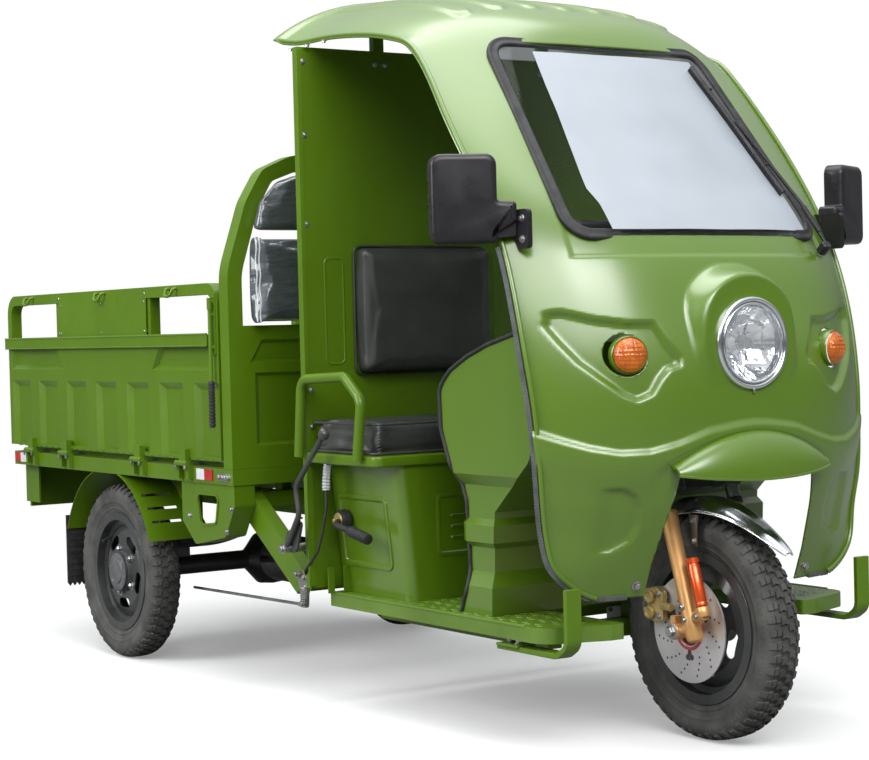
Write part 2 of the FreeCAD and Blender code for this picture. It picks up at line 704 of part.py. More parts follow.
def gate_latch():
    """Over-centre catch at the front end of a side gate, with a rubber grip."""
    x = BED_HALF + GAP
    y = BED_FRONT_Y + 18
    reach = x + 12.5
    plate = box(x, x + 4, y - 11, y + 11, 880, 1045)
    lever = rod(V(reach, y, 812), V(reach, y, 1030), 5)
    pin = rod(V(x, y, 1020), V(reach + 4, y, 1020), 7)
    grip = rod(V(reach, y, 690), V(reach, y, 812), 9)
    return fuse([plate, lever, pin, grip])


def rear_fender():
    """Guard round a rear wheel: a slotted sheet ahead and a plain one behind, carried under the bed."""
    y, z = WHEELBASE, TYRE_R
    wide = GUARD_OUT - GUARD_IN
    ring = Part.makeCylinder(GUARD_R, wide, V(GUARD_IN, y, z), V(1, 0, 0))
    ring = ring.cut(Part.makeCylinder(GUARD_R - SHEET, wide + 20, V(GUARD_IN - 10, y, z), V(1, 0, 0)))
    keep = box(GUARD_IN - 20, GUARD_OUT + 20, y - 400, y + 400, 360, BED_RAIL_LOW - GAP)
    guard = ring.common(keep)
    for i in range(3):
        low = 408.0 + 36 * i
        guard = guard.cut(box(GUARD_IN + 26, GUARD_OUT - 22, y - 400, y - 100, low, low + 7))
    webs = []
    for end in (-1, 1):
        near, far = sorted((y + end * GUARD_R, y + end * 190))
        side = box(GUARD_IN, GUARD_IN + SHEET, near, far, 380, BED_RAIL_LOW - GAP)
        webs.append(side.cut(Part.makeCylinder(GUARD_R - 1, 40, V(GUARD_IN - 10, y, z), V(1, 0, 0))))
    return fuse([guard] + webs)


def mudflap():
    """Rubber flap behind a rear wheel."""
    return box(GUARD_IN + 5, GUARD_OUT - 2, WHEELBASE + 290, WHEELBASE + 296, 185, 400)


def corner_box():
    """Stiffening box under the front corner of the bed, with its rimmed window."""
    front = HEAD_Y + 4
    rear = WHEELBASE - TYRE_R - 218
    low = front + 0.75 * (rear - front)
    outline = [(front, BED_RAIL_LOW - GAP), (front, 486), (front + 54, 402), (low, 372), (rear, 432),
               (rear, BED_RAIL_LOW - GAP)]
    plate = plate_yz(outline, [0, 10, 20, 20, 10, 0], 470, 530)
    hollow = [(front + 3, 560), (front + 3, 490), (front + 56, 405), (low - 2, 375), (rear - 3, 434), (rear - 3, 560)]
    plate = plate.cut(plate_yz(hollow, [0, 8, 18, 18, 8, 0], 460, 527))
    c = (front + rear) / 2
    window = [(c - 44, 438), (c + 40, 430), (c + 56, 508), (c - 60, 508)]
    rim = plate_yz(inset(window, [-6] * 4), [16] * 4, 529, 533)
    return plate.fuse(rim).cut(plate_yz(window, [12] * 4, 500, 540)).removeSplitter()


def lamp_board():
    """Rear cross board under the bed with its side brackets."""
    face = BED_REAR_Y - 28
    board = box(-500, 500, face - 10, face, 405, BED_RAIL_LOW - GAP)
    board = board.cut(box(-60, 60, face - 30, face + 20, 395, 420))
    sides = []
    for side in (-1, 1):
        sides.append(box(side * 500 - 3, side * 500 + 3, face - 82, face + 20, 420, BED_RAIL_LOW - GAP))
    return fuse([board] + sides)


def tail_lamps():
    """Rear lamp bodies on the board."""
    face = BED_REAR_Y - 28
    corners = [(330, 440), (460, 440), (460, 510), (330, 510)]
    return pair(plate_xz(corners, [10] * 4, face + GAP, face + 26))


def reflectors():
    """Reflector strips on the side rails of the bed, one at each end."""
    x = BED_HALF + GAP
    strips = []
    for y in (BED_FRONT_Y + 47, REAR_REACH - 125):
        strips.append(box(x, x + 3, y, y + 92, 549, 578))
    return pair(Part.makeCompound(strips))


def chassis_frame():
    """Two long rails that drop from under the bed to the cab floor, outer struts, cross bars, head tube."""
    pieces = []
    half = RAIL_WIDE / 2
    foot_y, foot_z = CAB_WALL_Y + 105, FLOOR_Z + 13
    head_y, head_z = HEAD_Y + 63, BED_RAIL_LOW - 45
    for side in (-1, 1):
        x = side * RAIL_X
        path = [(POST_Y - 21, RAIL_LOW_Z), (CAB_WALL_Y + 45, RAIL_LOW_Z), (HEAD_Y - 2, RAIL_HIGH_Z),
                (BED_REAR_Y - 100, RAIL_HIGH_Z)]
        pieces.append(bar_yz(path, RAIL_DEEP, x - half, x + half))
        for y in (BEAMS_Y[0], BEAMS_Y[-1]):
            pieces.append(box(x - 15, x + 15, y - 20, y + 20, RAIL_HIGH_Z, BED_RAIL_LOW - GAP))
        outer = side * STRUT_X
        pieces.append(bar_yz([(foot_y, foot_z), (head_y, head_z)], 70, outer - 18, outer + 18))
    for y, z, reach in ((BED_REAR_Y - 120, RAIL_HIGH_Z, RAIL_X), (BEAMS_Y[0], RAIL_HIGH_Z, RAIL_X),
                        (head_y, head_z, STRUT_X), (foot_y, foot_z, STRUT_X),
                        (POST_Y, RAIL_LOW_Z, RAIL_X)):
        pieces.append(box(-reach, reach, y - 20, y + 20, z - 20, z + 20))
    post = [(POST_Y, RAIL_LOW_Z), (POST_Y, 520), (steer_y(700) + 14, 700)]
    pieces.append(bar_yz(post, 30, -15, 15))
    head = Part.makeCylinder(27, 130, V(0, steer_y(640), 640), STEER_DIR)
    bore = Part.makeCylinder(18, 160, V(0, steer_y(626), 626), STEER_DIR)
    return fuse(pieces + [head]).cut(bore)


def rear_axle():
    """Turned axle between the rear wheels, with the motor and its gearbox as one plain block."""
    half = REAR_TRACK / 2 - 54
    end = REAR_TRACK / 2 + 26
    right_half = [(0, 80), (40, 76), (72, 44), (90, 28), (half - 10, 28), (half - 10, 80), (half, 80), (half, 14),
                  (end, 14), (end, 0)]
    left_half = [(-a, r) for a, r in reversed(right_half[1:])]
    turned = ring_about_x(left_half + right_half, 0, WHEELBASE, TYRE_R)
    motor = Part.makeCylinder(70, 200, V(0, WHEELBASE - 260, TYRE_R + 4), V(0, 1, 0))
    return turned.fuse(motor)


def leaf_springs():
    """Stack of leaves each side, from hangers on the chassis to the axle seat."""
    packs = []
    for side in (-1, 1):
        x = side * SPRING_X
        for i in range(4):
            reach = 400.0 - i * 80
            z = TYRE_R + 59.5 + i * 7
            sag = 60.0 * (reach / 400.0) ** 2
            top = V(x - 25, WHEELBASE, z)
            a = V(x - 25, WHEELBASE - reach, z + sag)
            b = V(x - 25, WHEELBASE + reach, z + sag)
            up = V(0, 0, 6.2)
            edges = [Part.Arc(a, top, b).toShape(), Part.LineSegment(b, b.add(up)).toShape(),
                     Part.Arc(b.add(up), top.add(up), a.add(up)).toShape(),
                     Part.LineSegment(a.add(up), a).toShape()]
            packs.append(Part.Face(Part.Wire(edges)).extrude(V(50, 0, 0)))
    return Part.makeCompound(packs)


def spring_hangers():
    """Shackles between the springs' ends and the bed frame, and the saddles on the axle."""
    pieces = []
    for side in (-1, 1):
        x = side * SPRING_X
        for end in (-1, 1):
            y = WHEELBASE + end * 392
            pieces.append(box(x - 25, x + 25, y - 14, y + 14, TYRE_R + 129.5, BED_RAIL_LOW - GAP))
        pieces.append(box(x - 32, x + 32, WHEELBASE - 40, WHEELBASE + 40, TYRE_R + 29.5, TYRE_R + 57.5))
    return Part.makeCompound(pieces)


def tyre(x, y):
    """Plain tyre out to the tips of its tread."""
    h = TYRE_W / 2
    seat = RIM_SEAT_R + GAP
    bead = RIM_W / 2 - 5.6
    profile = [(-bead, seat), (bead, seat), (bead + 0.6, RIM_FLANGE_R + 2), (h, 208), (h - 9, 239),
               (h - 24, TYRE_R), (24 - h, TYRE_R), (9 - h, 239), (-h, 208), (-bead - 0.6, RIM_FLANGE_R + 2)]
    return ring_about_x(profile, x, y, TYRE_R)


def rim(x, y, dish):
    """Pressed steel wheel: dropped-centre barrel with flanges, dished disc with oval windows."""
    h = RIM_W / 2
    s = RIM_SEAT_R
    barrel = [(-h, s - 3), (-h, RIM_FLANGE_R), (-h + 3, RIM_FLANGE_R), (-h + 5, s), (-14, s), (-10, 138), (10, 138),
              (14, s), (h - 5, s), (h - 3, RIM_FLANGE_R), (h, RIM_FLANGE_R), (h, s - 3), (12, s - 3), (10, 135),
              (-10, 135), (-12, s - 3)]
    ring = ring_about_x(barrel, x, y, TYRE_R)
    disc = [(dish * 4 - 2, 137), (dish * 20 - 2, 106), (dish * 20 - 2, 30), (dish * 20 + 2, 30),
            (dish * 20 + 2, 106), (dish * 4 + 2, 137)]
    web = ring_about_x(disc, x, y, TYRE_R)
    for i in range(5):
        slot = plate_yz([(-33, 80), (33, 80), (33, 108), (-33, 108)], [13.9] * 4, x - 60, x + 60)
        slot.rotate(V(0, 0, 0), V(1, 0, 0), 72 * i + 36)
        slot.translate(V(0, y, TYRE_R))
        web = web.cut(slot)
    return ring.fuse(web)


def front_wheel():
    hub = Part.makeCylinder(HUB_R, 96, V(-50, 0, TYRE_R), V(1, 0, 0))
    bore = Part.makeCylinder(8.1, 200, V(-100, 0, TYRE_R), V(1, 0, 0))
    return rim(0, 0, -1).fuse(hub).cut(bore).removeSplitter()


def brake_disc():
    disc = Part.makeCylinder(DISC_R, 4, V(DISC_X - 2, 0, TYRE_R), V(1, 0, 0))
    disc = disc.cut(Part.makeCylinder(36, 20, V(DISC_X - 10, 0, TYRE_R), V(1, 0, 0)))
    for i in range(6):
        a = math.radians(60 * i)
        disc = disc.cut(Part.makeCylinder(9, 20, V(DISC_X - 10, 58 * math.cos(a), TYRE_R + 58 * math.sin(a)),
                                          V(1, 0, 0)))
    carrier = Part.makeCylinder(44, 12, V(DISC_X + 2, 0, TYRE_R), V(1, 0, 0))
    carrier = carrier.cut(Part.makeCylinder(HUB_R + GAP, 40, V(DISC_X - 10, 0, TYRE_R), V(1, 0, 0)))
    return disc.fuse(carrier)


def rear_wheel(side):
    x = side * REAR_TRACK / 2
    hub = Part.makeCylinder(46, 60, V(x - 30, WHEELBASE, TYRE_R), V(1, 0, 0))
    cap = Part.makeCylinder(58, 24, V(x + side * 30 - 12, WHEELBASE, TYRE_R), V(1, 0, 0))
    wheel = rim(x, WHEELBASE, side).fuse([hub, cap])
    drum = Part.makeCylinder(100, 40, V(x - side * 30 - 20, WHEELBASE, TYRE_R), V(1, 0, 0))
    wheel = wheel.fuse(drum)
    bore = Part.makeCylinder(14.1, 82, V(x - side * 54, WHEELBASE, TYRE_R), V(side, 0, 0))
    return wheel.cut(bore).removeSplitter()


def fork():
    """Two legs clamped in a lower yoke under the steering stem, with the axle lugs at their feet."""
    pieces = []
    for side in (-1, 1):
        foot = on_fork(-30, LEG_AHEAD, side * LEG_X)
        top = on_fork(320, LEG_AHEAD, side * LEG_X)
        pieces.append(rod(foot, top, LEG_R))
        lug_at = V(side * LEG_X, 0, TYRE_R)
        pieces.append(Part.makeCylinder(19, 28, lug_at.add(V(-14, 0, 0)), V(1, 0, 0)))
        pieces.append(rod(on_fork(0, LEG_AHEAD, side * LEG_X), lug_at, 11))
    yoke_at = on_fork(322, 0, 0)
    yoke = Part.makeBox(2 * LEG_X + 52, 92, 26, V(-LEG_X - 26, -64, -13))
    yoke = yoke.makeFillet(10, [e for e in yoke.Edges if abs(e.tangentAt(e.FirstParameter).z) > 0.9])
    yoke.rotate(V(0, 0, 0), V(1, 0, 0), -RAKE)
    yoke.translate(yoke_at)
    pieces.append(yoke)
    pieces.append(rod(yoke_at, on_fork(900, 0, 0), 14))
    axle = rod(V(-LEG_X - 22, 0, TYRE_R), V(LEG_X + 22, 0, TYRE_R), 8)
    return fuse(pieces + [axle])


def fork_reservoirs():
    cans = []
    for side in (-1, 1):
        low = on_fork(38, LEG_AHEAD + 52, side * (LEG_X + 6))
        top = on_fork(148, LEG_AHEAD + 52, side * (LEG_X + 6))
        can = rod(low, top, 14)
        arm = rod(on_fork(22, LEG_AHEAD + 18, side * (LEG_X + 6)), on_fork(22, LEG_AHEAD + 56, side * (LEG_X + 6)),
                  13)
        arm = arm.cut(rod(on_fork(-60, LEG_AHEAD, side * LEG_X), on_fork(300, LEG_AHEAD, side * LEG_X),
                          LEG_R + GAP))
        cans.append(can.fuse(arm))
    return Part.makeCompound(cans)


def caliper():
    """Two-piston caliper behind the right leg, open round the disc."""
    body = box(-96, -40, 62, 132, 262, 340)
    body = body.cut(box(DISC_X - 6, DISC_X + 6, 0, DISC_R + 4, 250, 360))
    arm = rod(V(-90, 66, 300), V(-98, 10, 300), 9)
    arm = arm.cut(rod(on_fork(-60, LEG_AHEAD, -LEG_X), on_fork(300, LEG_AHEAD, -LEG_X), LEG_R + GAP))
    return fuse([body, arm])


def front_fender():
    """Bright mudguard: an arched section drawn round the tyre to a flared front tip."""
    tip = 35.1
    flare = FRONT_REACH / math.cos(math.radians(tip)) - FENDER_R
    steps = 10
    across = (-1.0, -0.72, -0.35, 0.35, 0.72, 1.0)
    sections = []
    for i in range(steps + 1):
        part = i / steps
        angle = math.radians(tip + part * 108)
        half = 62 * min(1.0, 0.14 + 1.3 * part ** 0.7)
        drop = 36 * min(1.0, 0.15 + 1.4 * part)
        crest = FENDER_R + flare * (1 - part) ** 8 + 8 * part ** 3
        outer = []
        inner = []
        for t in across:
            r = crest - drop * (t * t - 0.1225) / 0.8775 if abs(t) > 0.36 else crest
            for ring, radius in ((outer, r), (inner, r - 1.6)):
                ring.append(V(half * t, -radius * math.cos(angle), TYRE_R + radius * math.sin(angle)))
        sections.append(outer + inner[::-1])
    return sheet_loft(sections)


def handlebar():
    """Stem clamp, bent bar, grips and levers."""
    clamp_at = on_fork(904, 0, 0)
    clamp = Part.makeCylinder(26, 34, clamp_at, STEER_DIR)
    c = clamp_at.add(V(STEER_DIR).multiply(46))
    points = []
    for x, dy, dz in ((-360, 120, -10), (-200, 70, 6), (-90, -4, 0), (90, -4, 0), (200, 70, 6), (360, 120, -10)):
        points.append(c.add(V(x, dy, dz)))
    bar = tube(points, 11, 40)
    pieces = [clamp, bar, rod(clamp_at.add(V(STEER_DIR).multiply(30)), c, 20)]
    for side in (-1, 1):
        end = points[0] if side < 0 else points[-1]
        knee = points[1] if side < 0 else points[-2]
        inward = knee.sub(end).normalize()
        pieces.append(rod(end, end.add(V(inward).multiply(118)), 17))
        root = end.add(V(inward).multiply(122))
        lever = tube([root.add(V(0, -8, 0)), root.add(V(side * 30, -52, 2)), end.add(V(side * -10, -48, 2))], 5, 14)
        pieces.append(lever)
        pieces.append(rod(root, root.add(V(inward).multiply(24)), 21))
    return fuse(pieces)


def parking_lever():
    """Hand lever outside the seat box on its toothed sector."""
    x = -545.0
    arm = tube([V(x, 760, 688), V(x, 900, 556), V(x, 885, 490), V(x, 956, 400)], 7, 30)
    knob = rod(V(x, 766, 680), V(x, 746, 700), 14)
    sector = plate_yz([(885, 480), (970, 430), (980, 390), (920, 390)], [8, 20, 8, 20], x + 8, x + 14)
    pivot = rod(V(x - 8, 956, 400), V(x + 60, 956, 400), 11)
    return fuse([arm, knob, sector, pivot])


def brake_rods():
    """Bell crank and rods from the hand lever back to the rear brakes."""
    x = -STRUT_X - 32
    crank = plate_yz([(955, 345), (1010, 330), (985, 245), (965, 245)], [10, 12, 8, 8], x - 4, x + 4)
    back = rod(V(x, 975, 252), V(x + 60, 1700, 226), 4)
    return fuse([crank, back])


def shifter():
    """Gear handle beside the seat box."""
    x = -478.0
    stalk = tube([V(x + 30, 850, 470), V(x, 826, 462), V(x, 730, 448)], 8, 10)
    grip = rod(V(x, 760, 452), V(x, 675, 436), 13)
    base = rod(V(x + 24, 850, 470), V(x + 48, 850, 470), 26)
    return fuse([stalk, grip, base])


def step_bracket():
    """Flat bar step ahead of the floor rim each side, with its foot plate."""
    pieces = []
    for side in (-1, 1):
        x = side * 425.0
        path = [(-46, 378), (-46, 290), (-26, 252), (14, 233), (205, 233)]
        bar = bar_yz(path, 6, x - 20, x + 20)
        plate = box(x - 26, x + 26, 120, 200, 236, 242)
        pieces.append(fuse([bar, plate]))
    return Part.makeCompound(pieces)


def save(name, shape):
    placed = shape.copy()
    placed.translate(V(0, -ORIGIN_SHIFT, 0))
    solids = placed.Solids
    if not solids:
        raise RuntimeError("no solid in " + name)
    if len(solids) == 1:
        placed = solids[0]
    else:
        placed = Part.makeCompound(solids)
    if not placed.isValid():
        print("not valid:", name)
    placed.exportStep("parts/" + name + ".step")


def build():
    os.makedirs("parts", exist_ok=True)
    surface = cab_surface()
    box_solid, shelf = seat_box()
    right = mirrored
    save("chassis_frame", chassis_frame())
    save("floor_pan", floor_pan())
    save("cab_shell", cab_shell(surface))
    save("windscreen_glass", windscreen_glass(surface))
    save("windscreen_seal", windscreen_seal(surface))
    save("wheel_hood", wheel_hood())
    save("headlamp", headlamp())
    save("headlamp_ring", headlamp_ring())
    save("turn_signals", turn_signals())
    save("inner_fascia", inner_fascia())
    save("cab_rear_wall", cab_rear_wall())
    save("seat_box", box_solid)
    save("seat_shelf", shelf)
    save("battery_block", battery_block())
    save("seat_cushion", seat_cushion())
    save("seat_back", seat_back())
    save("arm_rails", arm_rails())
    save("mirror_right", mirror(-1))
    save("mirror_left", mirror(1))
    save("wiper", wiper())
    save("headboard", headboard())
    save("headboard_pads", headboard_pads())
    save("bed_frame", fuse([bed_frame()] + gate_hinges(False) + [right(h) for h in gate_hinges(False)]
                           + tail_hinges(False)))
    save("bed_floor", bed_floor())
    left_gate = fuse([side_gate()] + gate_hinges(True))
    save("gate_left", left_gate)
    save("gate_right", right(left_gate))
    save("tailgate", fuse([tailgate()] + tail_hinges(True)))
    save("latch_left", gate_latch())
    save("latch_right", right(gate_latch()))
    save("rear_fenders", pair(rear_fender()))
    save("mudflaps", pair(mudflap()))
    save("corner_boxes", pair(corner_box()))
    save("lamp_board", lamp_board())
    save("tail_lamps", tail_lamps())
    save("reflectors", reflectors())
    save("rear_axle", rear_axle())
    save("leaf_springs", leaf_springs())
    save("spring_hangers", spring_hangers())
    save("fork", fork())
    save("fork_reservoirs", fork_reservoirs())
    save("caliper", caliper())
    save("front_fender", front_fender())
    save("handlebar", handlebar())
    save("front_tyre", tyre(0, 0))
    save("front_rim", front_wheel())
    save("brake_disc", brake_disc())
    for name, side in (("right", -1), ("left", 1)):
        save("rear_tyre_" + name, tyre(side * REAR_TRACK / 2, WHEELBASE))
        save("rear_rim_" + name, rear_wheel(side))
    save("parking_lever", parking_lever())
    save("brake_rods", brake_rods())
    save("shifter", shifter())
    save("step_brackets", step_bracket())


build()
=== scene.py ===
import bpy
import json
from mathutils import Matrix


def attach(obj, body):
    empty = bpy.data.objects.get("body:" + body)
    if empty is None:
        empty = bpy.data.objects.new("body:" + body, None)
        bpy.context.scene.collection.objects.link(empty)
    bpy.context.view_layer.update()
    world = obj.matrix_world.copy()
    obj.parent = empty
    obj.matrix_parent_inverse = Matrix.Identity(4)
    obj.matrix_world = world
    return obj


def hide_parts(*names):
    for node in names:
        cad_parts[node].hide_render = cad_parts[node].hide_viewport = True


bl_info = {
    "name": "Electric Cargo Tricycle",
    "version": (1, 0, 0),
    "blender": (4, 5, 0),
    "location": "View3D > Sidebar > Tricycle",
    "description": "Dresses the packed cargo tricycle: mouldings, gates, wheels, fork, fittings and finishes",
    "category": "Object",
}

import json
from math import atan2, copysign, cos, floor, pi, radians, sin, sqrt, tan

import bmesh
import bpy
import numpy as np
from mathutils import Matrix, Vector

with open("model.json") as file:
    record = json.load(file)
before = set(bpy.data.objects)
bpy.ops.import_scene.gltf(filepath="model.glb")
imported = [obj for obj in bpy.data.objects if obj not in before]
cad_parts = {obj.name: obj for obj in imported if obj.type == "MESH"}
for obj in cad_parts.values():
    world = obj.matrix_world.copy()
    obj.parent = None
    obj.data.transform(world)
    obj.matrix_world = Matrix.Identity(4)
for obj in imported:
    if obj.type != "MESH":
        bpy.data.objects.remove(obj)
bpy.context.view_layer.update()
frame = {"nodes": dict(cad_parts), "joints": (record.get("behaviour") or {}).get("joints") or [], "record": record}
JOINTS = {joint["name"]: joint for joint in frame["joints"]}

# Places are in millimetres back from the front axle (y) and up from the ground (z), as in the part's source
AXLE_Y = JOINTS["front_wheel_spin"]["pos_m"][1]
AXLE_Z = 252.5
REAR_AXLE = JOINTS["rear_wheel_left_spin"]["pos_m"]
WHEELBASE = (REAR_AXLE[1] - AXLE_Y) * 1000
REAR_X = REAR_AXLE[0] * 1000
TURN = 2 * pi
SIDES = (-1, 1)
CLOTH_FRAMES = 20
LENS = dict(Transmission_Weight=0.3, Roughness=0.12, IOR=1.45, Coat_Weight=0.3)


def at(x, y, z):
    """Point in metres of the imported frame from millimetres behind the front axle."""
    return Vector((x / 1000, y / 1000 + AXLE_Y, z / 1000))


class TricycleColours(bpy.types.PropertyGroup):
    """Colours of the finishes, as linear red, green and blue."""
    paint: bpy.props.FloatVectorProperty(
        name="Body green", description="Gloss paint on mouldings, bed and cab", subtype="COLOR",
        size=3, min=0, max=1, default=(0.076, 0.152, 0.003))
    fork: bpy.props.FloatVectorProperty(
        name="Fork gold", description="Anodised lower legs of the fork", subtype="COLOR",
        size=3, min=0, max=1, default=(0.66, 0.36, 0.135))
    reservoir: bpy.props.FloatVectorProperty(
        name="Reservoir orange", description="Clear lacquer over the fork reservoirs", subtype="COLOR",
        size=3, min=0, max=1, default=(0.72, 0.085, 0.008))
    padding: bpy.props.FloatVectorProperty(
        name="Padding grey", description="Wrapped pads on the headboard", subtype="COLOR",
        size=3, min=0, max=1, default=(0.055, 0.065, 0.075))


class TricycleSizes(bpy.types.PropertyGroup):
    """Sizes that a maker would change without touching the frame."""
    lug_height: bpy.props.FloatProperty(
        name="Tread depth", description="Height of the tyre lugs over the grooves", subtype="DISTANCE",
        unit="LENGTH", min=0.002, max=0.01, default=0.0065)
    bolt_across: bpy.props.FloatProperty(
        name="Bolt size", description="Across the flats of the body bolts", subtype="DISTANCE",
        unit="LENGTH", min=0.006, max=0.02, default=0.013)


class Form:
    """Gathers points and faces of one mesh, each face with a finish number."""

    def __init__(self):
        self.points = []
        self.faces = []
        self.finish = []

    def add(self, points, faces, finish=0):
        start = len(self.points)
        self.points.extend([Vector(p) for p in points])
        self.faces.extend([tuple(start + i for i in face) for face in faces])
        self.finish.extend([finish] * len(faces))

    def grid(self, rows, finish=0, loop_rows=False, loop_columns=False, cap=False):
        """Quads over rows of points, closed on themselves where asked."""
        high, wide = len(rows), len(rows[0])
        points = [p for row in rows for p in row]
        faces = []
        for i in range(high if loop_rows else high - 1):
            for j in range(wide if loop_columns else wide - 1):
                a = i * wide + j
                b = i * wide + (j + 1) % wide
                c = (i + 1) % high * wide + (j + 1) % wide
                d = (i + 1) % high * wide + j
                faces.append((a, b, c, d))
        if cap:
            faces.append(tuple(range(wide))[::-1])
            faces.append(tuple((high - 1) * wide + j for j in range(wide)))
        self.add(points, faces, finish)

    def rings(self, outline, steps, place, finish=0, cap=False):
        """Grid through an outline shrunk by the margin and set at the depth of each step."""
        rows = [[place(u, v, depth) for u, v in shrunk(outline, margin)] for margin, depth in steps]
        self.grid(rows, finish, loop_columns=True, cap=cap)

    def disc(self, radii, steps, place, finish=0):
        """Grid of rings about a middle; place turns (u, v, radius) into a point."""
        self.grid([[place(u, v, r) for u, v in circle(0, 0, r, steps)] for r in radii], finish, loop_columns=True)

    def box(self, corner, other, finish=0):
        """Block between two opposite corners."""
        (x0, x1), (y0, y1), (z0, z1) = (sorted(pair) for pair in zip(corner, other))
        points = [(x, y, z) for z in (z0, z1) for x, y in ((x0, y0), (x1, y0), (x1, y1), (x0, y1))]
        faces = [(3, 2, 1, 0), (4, 5, 6, 7), (0, 1, 5, 4), (1, 2, 6, 5), (2, 3, 7, 6), (3, 0, 4, 7)]
        self.add(points, faces, finish)

    def turned(self, profile, start, axis, finish=0, steps=32, ring=False):
        """Revolves (along, radius) points about an axis from a start point; a ring's section closes on itself."""
        along = Vector(axis).normalized()
        side, up = across(along)
        rows = []
        for a, r in profile:
            centre = start + along * a
            rows.append([centre + side * u + up * v for u, v in circle(0, 0, max(r, 1e-5), steps)])
        self.grid(rows, finish, loop_rows=ring, loop_columns=True, cap=not ring)

    def rod(self, start, end, radius, finish=0, steps=20):
        """Round bar with eased ends."""
        run = end - start
        ease = min(radius, run.length) * 0.2
        profile = [(0, radius - ease), (ease, radius), (run.length - ease, radius), (run.length, radius - ease)]
        self.turned(profile, start, run, finish, steps)

    def tube(self, path, radius, finish=0, steps=14, cap=True):
        """Round section carried along a list of points; radius may be one number or one per point."""
        radii = radius if hasattr(radius, "__len__") else [radius] * len(path)
        rows = []
        side = None
        for i, point in enumerate(path):
            ahead = path[min(i + 1, len(path) - 1)] - path[max(i - 1, 0)]
            ahead.normalize()
            if side is None:
                side, up = across(ahead)
            side = (side - ahead * side.dot(ahead)).normalized()
            up = ahead.cross(side)
            rows.append([point + side * u + up * v for u, v in circle(0, 0, radii[i], steps)])
        self.grid(rows, finish, loop_columns=True, cap=cap)

    def ribbon(self, path, normals, section, finish=0, closed=False):
        """Closed section of (sideways, outwards) points carried along a path with its own normals."""
        rows = []
        count = len(path)
        for i, point in enumerate(path):
            before = path[i - 1] if closed or i > 0 else point
            after = path[(i + 1) % count] if closed or i < count - 1 else point
            ahead = (after - before).normalized()
            out = normals[i]
            aside = ahead.cross(out).normalized()
            out = aside.cross(ahead).normalized()
            rows.append([point + aside * a + out * b for a, b in section])
        self.grid(rows, finish, loop_rows=closed, loop_columns=True, cap=not closed)

    def plate(self, outline, thick, place, finish=0):
        """Flat plate cut to an outline; place turns (u, v, depth) into a point."""
        count = len(outline)
        points = [place(u, v, d) for d in (0, thick) for u, v in outline]
        faces = [tuple(range(count))[::-1], tuple(range(count, 2 * count))]
        for i in range(count):
            j = (i + 1) % count
            faces.append((i, j, count + j, count + i))
        self.add(points, faces, finish)

    def bolt(self, point, out, size, finish=0):
        """Hexagon head on a washer, standing on a surface."""
        out = Vector(out).normalized()
        washer = [(0, size * 0.85), (size * 0.1, size * 0.85), (size * 0.12, size * 0.78)]
        self.turned(washer, point, out, finish, 20)
        r = size / 2 / cos(pi / 6)
        self.turned([(0, r), (size * 0.42, r), (size * 0.5, r * 0.84)], point + out * size * 0.12, out, finish, 6)

    def mesh(self, name):
        """Bare mesh of the points and faces."""
        mesh = bpy.data.meshes.new(name)
        mesh.from_pydata([tuple(p) for p in self.points], [], self.faces)
        return mesh

    def build(self, name, body, finishes, replaces=(), sharp=35, bevel=0, bevel_steps=2, bevel_angle=32,
              slot=None):
        """Makes the object, rides it on its body and hides the solids it stands for; the slot it works out, from
        its first finish unless another is named, is not used.
        """
        mesh = self.mesh(name)
        for finish in finishes.split():
            mesh.materials.append(finish_of(finish))
        mesh.polygons.foreach_set("material_index", self.finish)
        tidy_mesh(mesh, sharp)
        piece = placed(name, mesh)
        if bevel:
            edge = piece.modifiers.new("eased edges", "BEVEL")
            edge.width = bevel
            edge.segments = bevel_steps
            edge.limit_method = "ANGLE"
            edge.angle_limit = radians(bevel_angle)
            edge.harden_normals = True
        if replaces and not slot:
            slot = finishes.split()[0]
        return dress(piece, body, replaces)


def tidy_mesh(mesh, sharp):
    """Turns the faces outwards and keeps only real edges sharp."""
    work = bmesh.new()
    work.from_mesh(mesh)
    bmesh.ops.recalc_face_normals(work, faces=work.faces)
    work.to_mesh(mesh)
    work.free()
    mesh.shade_smooth()
    mesh.set_sharp_from_angle(angle=radians(sharp))
    mesh.update()


def dress(piece, body, replaces=()):
    """Rides a piece on its body and hides the solids it stands for."""
    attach(piece, body)
    if replaces:
        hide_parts(*replaces)
    return piece


def across(direction):
    """Two directions square to one another and to a third."""
    direction = Vector(direction).normalized()
    pick = Vector((0, 0, 1)) if abs(direction.z) < 0.9 else Vector((0, 1, 0))
    side = direction.cross(pick).normalized()
    return side, side.cross(direction).normalized()


def bent(points, radius, steps=6):
    """Straight runs joined by round bends."""
    path = [points[0]]
    for i in range(1, len(points) - 1):
        corner = points[i]
        a = (points[i - 1] - corner).normalized()
        b = (points[i + 1] - corner).normalized()
        half = a.angle(b) / 2
        cut = min(radius / tan(half), (points[i - 1] - corner).length * 0.49,
                  (points[i + 1] - corner).length * 0.49)
        for k in range(steps + 1):
            t = k / steps
            start = corner + a * cut
            end = corner + b * cut
            path.append(start.lerp(corner, t).lerp(corner.lerp(end, t), t))
    path.append(points[-1])
    return path


